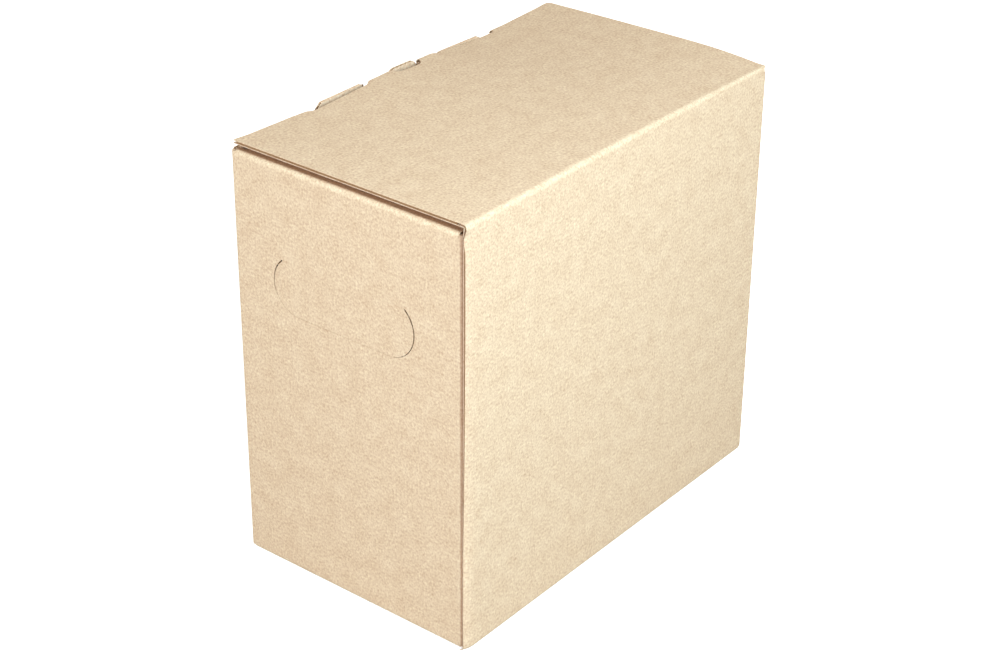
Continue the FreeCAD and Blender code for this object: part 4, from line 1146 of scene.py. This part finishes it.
def board_piece(name, blank, loops, lines, place, strips, plugs=()):
    """Both liners of a piece of board as one mesh, with pressed board between them at the plugs."""
    board = blank.board
    flat, tris = flat_mesh(loops, *lines)
    parts = MeshParts()
    parts.sheet(flat, tris, place, 0.0, board.liner)
    parts.sheet(flat, tris, place, board.thickness - board.liner, board.thickness)
    for first, last, low, high in plugs:
        loop = [(first, low), (last, low), (last, high), (first, high)]
        across = [(u, low, high) for u in grid_lines(first, last, 0.6 * MM)]
        flat, tris = flat_mesh([loop], across, [])
        parts.sheet(flat, tris, place, board.liner, board.thickness - board.liner)
    piece = parts.build(name)
    mark_folds(piece, strips)
    give(piece, BUILT["kraft"])
    return piece


def mark_folds(piece, strips):
    """Stores how far each point lies in a fold, the mask of the folds' painted highlight: 1 at the fold's
    middle, 0 outside.
    """
    mesh = piece.data
    flat = np.zeros(len(mesh.vertices) * 3, np.float32)
    mesh.attributes["flat"].data.foreach_get("vector", flat)
    flat = flat.reshape(-1, 3)
    amount = np.zeros(len(flat), np.float32)
    for strip, column, low, high in strips:
        other = flat[:, 1 - column]
        reach = (other > low) & (other < high)
        for first, last in strip.stretches("fold"):
            near = 1 - np.abs(flat[:, column] - (first + last) / 2) / ((last - first) * 0.5)
            amount = np.maximum(amount, np.clip(near, 0, 1) * reach)
    attribute = mesh.attributes.new("fold", "FLOAT", "POINT")
    attribute.data.foreach_set("value", amount)


class BAGBOX_OT_carton(bpy.types.Operator):
    """Build the carton's board with its raw fluted edges"""
    bl_idname = "bagbox.carton"
    bl_label = "Build carton"

    def execute(self, context):
        blank = blank_of(context)
        carton, hole = context.scene.bag_in_box.carton, context.scene.bag_in_box.hand_hole
        loops = [carton_loop(blank), wall_hole_loop(hole, blank.u_front), wall_hole_loop(hole, blank.u_back)]
        slits = door_slits(blank, carton)
        strips = [(blank.ring, 0, blank.foot, blank.head)]
        strips += [(strip, 1, first, last) for first, last, _, _, _, strip in blank.panels()]
        plugs = self.pressed_tops(blank, carton)
        piece = board_piece(
            "carton_board", blank, loops + slits, panel_lines(blank), blank.place, strips, plugs)
        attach(piece, "carton")
        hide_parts("carton")
        frames = []
        side = 1 * MM
        every, raw_sides = flute_points(loops, blank.board, skip=(blank.seam_v,))
        for first, last, _, _, _, strip in blank.panels():
            found = [p for p in every if first + side < p[0] < last - side]
            sides = [r for r in raw_sides
                     if first - side < r[0] < last + side and abs(r[0] - blank.end) > side]
            flats = strip.stretches("line")
            frames.append(flute_frames(*within(found, sides, flats), blank.place, blank.board))
        flutes = grow_flutes("carton_flutes", frames, blank.board)
        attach(flutes, "carton")
        self.pressed_edge(blank)
        return {"FINISHED"}

    @staticmethod
    def pressed_tops(blank, carton):
        """Where pressed board closes the raw tops: the corner posts and the two locking tabs."""
        def top(first, last, height):
            return (first, last, height - PRESSED, height - 0.05 * MM)

        posts = [top(last - blank.arc, last, blank.head + carton.corner_rise)
                 for last in (blank.front, blank.left, blank.back, blank.right)]
        level = carton.lid_height - carton.tab_drop
        wide = carton.tab_far - carton.tab_near - carton.tab_slant - 2 * MM
        starts = ((blank.u_left(carton.tab_slant - carton.tab_far) + 0.3 * MM, carton.front_tab_rise),
                  (blank.u_left(carton.tab_near + MM) + 0.3 * MM, 0.0))
        return posts + [top(first, first + wide, level + rise) for first, rise in starts]

    @staticmethod
    def pressed_edge(blank):
        """Pressed board that shows in the raw edge at the glued corner."""
        board = blank.board
        last = blank.end - board.edge_recess
        first = last - 1.2 * MM
        low, high = blank.radius, blank.seam_v
        loop = [(first, low), (last, low), (last, high), (first, high)]
        flat, tris = flat_mesh([loop], [], [(v, first, last) for v in grid_lines(low, high, 4 * MM)])
        parts = MeshParts()
        parts.sheet(flat, tris, blank.place, board.liner, board.thickness - board.liner)
        edge = parts.build("joint_edge")
        give(edge, BUILT["flute"])
        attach(edge, "carton")


class BAGBOX_OT_lid(bpy.types.Operator):
    """Build the lid, its bending fold and its tuck flap"""
    bl_idname = "bagbox.lid"
    bl_label = "Build lid"

    def execute(self, context):
        blank = blank_of(context)
        carton, lid = blank.carton, blank.lid
        grid = blank.board.grid
        half, seam = lid.half_length, blank.v_lid(lid.seam)
        loops = [lid_loop(blank)] + lid_cuts(blank)
        near, far = blank.u_right(-half), blank.u_right(half)
        foot, top = blank.seam_v - LINE_END, blank.tuck_end + LINE_END
        across = [(u, foot, top) for u in grid_lines(far, near, grid)]
        across += joint_lines(blank, foot, blank.lid_start + LINE_END, (0.12, 0.2, 0.3, 0.45, 0.65, 1.0))
        heights = grid_lines(seam, blank.tuck_fold, grid) + blank.lid_strip.folds(blank.board.fold_steps)
        along = [(v, far - LINE_END, near + LINE_END) for v in heights]
        strips = [(blank.lid_strip, 1, -1.0, 9.0)]
        panel = board_piece("lid_board", blank, loops, (across, along), blank.lid_place, strips)
        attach(panel, "lid")
        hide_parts("lid")
        cut, narrow = blank.lid_start - 3.6 * MM, blank.lid_start - 2.4 * MM
        slot = blank.u_right(blank.half_length - carton.corner_slot)
        raw = blank.u_right(carton.raw_edge_step - blank.half_length)
        fold_loop = [(slot, blank.seam_v), (slot, cut), (far, narrow), (far, seam),
                     (near, seam), (near, narrow), (raw, cut), (raw, blank.seam_v)]
        fold = board_piece("lid_fold", blank, [fold_loop], (across, along), blank.lid_place, strips)
        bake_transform(fold)
        found, sides = flute_points(loops, blank.board, skip=(seam,))
        flats = [(blank.lid_start + MM, blank.tuck_fold), (blank.tuck_start, blank.tuck_end)]
        frames = [flute_frames(*within(found, sides, flats), blank.lid_place, blank.board)]
        flutes = grow_flutes("lid_flutes", frames, blank.board)
        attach(flutes, "lid")
        return {"FINISHED"}


class BAGBOX_OT_hand_holes(bpy.types.Operator):
    """Build the flaps that close the two hand holes, with the creases they bend on"""
    bl_idname = "bagbox.hand_holes"
    bl_label = "Build hand-hole flaps"

    def execute(self, context):
        blank = blank_of(context)
        hole = context.scene.bag_in_box.hand_hole
        grid = blank.board.grid
        crease = crease_height(hole)
        seam = crease - hole.strip
        foot = hole.middle - hole.height / 2
        for end, u_of, slip, drop, outer in (("front", blank.u_front, hole.slip, hole.drop, -1),
                                             ("back", blank.u_back, 0.0, 0.0, 1)):
            loop = hand_hole_loop(hole, u_of, 0.0, slip, drop, hole.strip)
            left, right = sorted((u_of(-hole.width), u_of(hole.width)))
            across = [(u, hole.middle - hole.height, crease + hole.height)
                      for u in grid_lines(left, right, grid)]
            along = [(v, left, right) for v in grid_lines(foot, seam, grid)]
            lower = clipped(loop, seam, below=True)
            body = end + "_hand_hole_flap"
            flap = board_piece(end + "_flap_board", blank, [lower], (across, along), blank.place, [])
            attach(flap, body)
            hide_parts(body)
            along = [(v, left, right) for v in np.linspace(seam, crease + hole.strip, 13)[1:-1]]
            upper = clipped(loop, seam, below=False)
            bend = board_piece(end + "_flap_crease", blank, [upper], (across, along),
                               self.creased(blank, crease), [])
            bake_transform(bend)
            found, sides = flute_points([lower], blank.board, skip=(seam,))
            frames = [flute_frames(*within(found, sides, [(0.0, 1.0)]), blank.place, blank.board)]
            flutes = grow_flutes(end + "_flap_flutes", frames, blank.board)
            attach(flutes, body)
        return {"FINISHED"}

    @staticmethod
    def creased(blank, crease):
        """The wall's places, pressed in along the crease."""
        def place(u, v, w):
            out = blank.place(u, v, w)
            dent = np.clip(1 - np.abs(v - crease) / (0.9 * MM), 0, 1)
            dent = dent * np.clip(1 - w / blank.board.thickness, 0, 1)
            away = np.where(out[:, 1] < 0, 1.0, -1.0)
            out[:, 1] += away * dent * 0.08 * MM
            return out
        return place


def clipped(loop, level, below):
    """The part of a closed loop that lies below or above a level."""
    kept = []
    count = len(loop)
    for i in range(count):
        (x0, y0), (x1, y1) = loop[i], loop[(i + 1) % count]
        in0 = y0 <= level if below else y0 >= level
        in1 = y1 <= level if below else y1 >= level
        if in0:
            kept.append((x0, y0))
        if in0 != in1:
            t = (level - y0) / (y1 - y0)
            kept.append((x0 + t * (x1 - x0), level))
    return kept


class BAGBOX_OT_bag(bpy.types.Operator):
    """Build the filled, wrinkled film bag"""
    bl_idname = "bagbox.bag"
    bl_label = "Build bag"

    def execute(self, context):
        bag = context.scene.bag_in_box.bag
        mesh = bpy.data.objects["bag"].data.copy()
        mesh.name = "film_bag"
        piece = linked("film_bag", mesh)
        remesh = piece.modifiers.new("cells", "REMESH")
        remesh.mode = "VOXEL"
        remesh.voxel_size = bag.voxel
        piece.modifiers.new("soften", "SMOOTH").iterations = 4
        applied(piece)
        self.wrinkle(piece.data, bag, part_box("bag")[1])
        finish_mesh(piece.data, 180)
        give(piece, film_material())
        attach(piece, "carton")
        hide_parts("bag")
        return {"FINISHED"}

    @staticmethod
    def wrinkle(mesh, bag, high):
        """Moves each point inwards by soft folds, and lifts the welded seams on top."""
        count = len(mesh.vertices)
        points = np.zeros(count * 3)
        normals = np.zeros(count * 3)
        mesh.vertices.foreach_get("co", points)
        mesh.vertex_normals.foreach_get("vector", normals)
        points, normals = points.reshape(-1, 3), normals.reshape(-1, 3)
        noise.seed_set(bag.seed)
        shift = Vector((bag.seed * 1.7, bag.seed * 0.9, 3.1))
        depth = np.zeros(count)
        for i in range(count):
            p = Vector(points[i])
            q = p + noise.noise_vector(p * 11.0 + shift) * 0.018
            ridge = 1 - abs(noise.noise(Vector((q.x * 34, q.y * 15, q.z * 15)) + shift))
            cross = 1 - abs(noise.noise(Vector((q.x * 20, q.y * 52, q.z * 30)) - shift))
            fine = 1 - abs(noise.noise(q * 95.0 + shift))
            depth[i] = 0.55 * (1 - ridge ** 3) + 0.3 * (1 - cross ** 4) + 0.15 * (1 - fine ** 2)
        top = np.clip((points[:, 2] - (high.z - 0.05)) / 0.04, 0.25, 1)
        moved = points - normals * (bag.inset + bag.wrinkle * depth * top)[:, None]
        near = np.abs(np.abs(points[:, 1]) - (high.y - 0.055))
        seam = np.clip(1 - near / (bag.seam_width / 2), 0, 1) * (normals[:, 2] > 0.8)
        moved[:, 2] += 0.8 * MM * np.minimum(seam * 2, 1)
        mesh.vertices.foreach_set("co", moved.ravel())
        mesh.update()


class BAGBOX_OT_tap(bpy.types.Operator):
    """Finish the tap's moulded pieces"""
    bl_idname = "bagbox.tap"
    bl_label = "Finish tap"
    # name, colour, deeper colour, roughness, share of light that passes into it
    finishes = (("natural_polyethylene", (236, 238, 234), (226, 229, 226), 0.42, 0.3),
                ("tap_polypropylene", (52, 52, 54), (44, 44, 47), 0.46, 0.0),
                ("button_polypropylene", (188, 34, 32), (170, 28, 28), 0.32, 0.0),
                ("seal_rubber", (120, 120, 122), (104, 104, 107), 0.62, 0.0))

    def execute(self, context):
        natural, black, red, rubber = (moulded_material(name, srgb(*colour), srgb(*deeper), rough, clear)
                                       for name, colour, deeper, rough, clear in self.finishes)
        edges = {"spout_gland": (natural, 0.4), "tap_body": (black, 0.5), "valve_stem": (natural, 0.25),
                 "valve_washer": (rubber, 0.15), "push_button": (red, 0.6)}
        for name, (material, width) in edges.items():
            node = bpy.data.objects[name]
            give(node, material)
            self.soften(node, width)
        self.sleeve(rubber)
        return {"FINISHED"}

    @staticmethod
    def soften(piece, width):
        bevel = piece.modifiers.new("soft_edges", "BEVEL")
        bevel.width = width * MM
        bevel.segments = 2
        bevel.limit_method = "ANGLE"
        bevel.angle_limit = math.radians(50)

    def sleeve(self, material):
        """The rubber sleeve that springs the button back."""
        piece = linked("rubber_sleeve", bpy.data.objects["return_sleeve"].data.copy())
        self.soften(piece, 0.15)
        applied(piece)
        finish_mesh(piece.data, 40)
        give(piece, material)
        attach(piece, "carton")
        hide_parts("return_sleeve")
        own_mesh(piece)


class BAGBOX_OT_stage(bpy.types.Operator):
    """Set the camera, the lamps and the white floor"""
    bl_idname = "bagbox.stage"
    bl_label = "Set stage"

    def execute(self, context):
        stage = context.scene.bag_in_box.stage
        self.camera(context, stage)
        world = bpy.data.worlds.new("surroundings")
        world.use_nodes = True
        world.node_tree.nodes.clear()
        n = Nodes(world.node_tree)
        seen = n.backdrop_rays()
        strength = n.plus(stage.ambient, seen, 1 - stage.ambient)
        colour = n.mix(seen, (1.0, 0.83, 0.66, 1.0), (1.0, 1.0, 1.0, 1.0))
        light = n.put("ShaderNodeBackground", {"Color": colour, "Strength": strength})
        n.put("ShaderNodeOutputWorld", {"Surface": light.outputs[0]})
        context.scene.world = world
        self.lamp("key", (0.86, -0.22, 0.77), 0.6, stage.key, (0.775, 0.905, 0.99))
        self.lamp("fill", (0.05, -1.10, 0.56), 0.7, stage.fill, (0.88, 0.94, 1.0))
        self.lamp("back", (-1.2, 0.9, 0.5), 0.9, stage.back, (1.0, 0.92, 0.84))
        floor = self.floor()
        context.scene.view_settings.view_transform = "Standard"
        return {"FINISHED"}

    @staticmethod
    def camera(context, stage):
        """Looks at the carton from the azimuth and elevation, rolled round its own axis."""
        azimuth, elevation, roll = stage.azimuth, stage.elevation, stage.roll
        level = math.cos(elevation)
        back = Vector((math.sin(azimuth) * level, -math.cos(azimuth) * level, math.sin(elevation)))
        right = Vector((math.cos(azimuth), math.sin(azimuth), 0))
        up = back.cross(right)
        across = right * math.cos(roll) + up * math.sin(roll)
        upward = up * math.cos(roll) - right * math.sin(roll)
        data = bpy.data.cameras.new("camera")
        data.lens = stage.lens
        data.sensor_width = 36.0
        data.clip_start, data.clip_end = 0.05, 30.0
        camera = linked("camera", data)
        turned = Matrix((across, upward, back)).transposed().to_4x4()
        camera.matrix_world = Matrix.Translation(Vector(stage.place)) @ turned
        context.scene.camera = camera

    @staticmethod
    def lamp(name, place, size, power, colour):
        """A square lamp that faces the carton."""
        data = bpy.data.lights.new(name, "AREA")
        data.color = colour
        data.shape = "SQUARE"
        data.size = size
        data.energy = power
        lamp = linked(name, data)
        lamp.location = place
        lamp.rotation_euler = (Vector((0, 0, 0.12)) - Vector(place)).to_track_quat("-Z", "Y").to_euler()

    @staticmethod
    def floor():
        """A wide round sheet just under the object."""
        mesh = bpy.data.meshes.new("floor")
        shape = bmesh.new()
        steps, level = 48, -0.3 * MM
        angles = np.linspace(0, 2 * math.pi, steps, endpoint=False)
        rings = [[shape.verts.new((radius * math.cos(a), radius * math.sin(a), level)) for a in angles]
                 for radius in (0.4, 1.2, 4.0, 9.0)]
        shape.faces.new(rings[0])
        for inner, outer in zip(rings, rings[1:]):
            for i in range(steps):
                j = (i + 1) % steps
                shape.faces.new((inner[i], outer[i], outer[j], inner[j]))
        shape.to_mesh(mesh)
        shape.free()
        mesh.update()
        floor = linked("floor", mesh)
        give(floor, floor_material())
        return floor


STEPS = (BAGBOX_OT_carton, BAGBOX_OT_lid, BAGBOX_OT_hand_holes, BAGBOX_OT_bag, BAGBOX_OT_tap, BAGBOX_OT_stage)


class BAGBOX_PT_panel(bpy.types.Panel):
    """Builds each piece and shows its settings"""
    bl_idname = "BAGBOX_PT_panel"
    bl_label = "Bag-in-box"
    bl_space_type = "VIEW_3D"
    bl_region_type = "UI"
    bl_category = "Bag-in-box"

    def draw(self, context):
        for step in STEPS:
            self.layout.operator(step.bl_idname)
        for name, _ in GROUPS:
            box = self.layout.box()
            box.label(text=name.replace("_", " ").capitalize())
            group = getattr(context.scene.bag_in_box, name)
            for key in group.bl_rna.properties.keys():
                if key not in ("rna_type", "name"):
                    box.prop(group, key)


CLASSES = tuple(group for _, group in GROUPS) + (BoxSettings,) + STEPS + (BAGBOX_PT_panel,)


def register():
    for each in CLASSES:
        bpy.utils.register_class(each)
    bpy.types.Scene.bag_in_box = bpy.props.PointerProperty(type=BoxSettings)


def unregister():
    del bpy.types.Scene.bag_in_box
    for each in reversed(CLASSES):
        bpy.utils.unregister_class(each)


def main():
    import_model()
    register()
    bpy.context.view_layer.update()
    for step in STEPS:
        group, name = step.bl_idname.split(".")
        getattr(getattr(bpy.ops, group), name)()


if __name__ == "__main__":
    main()
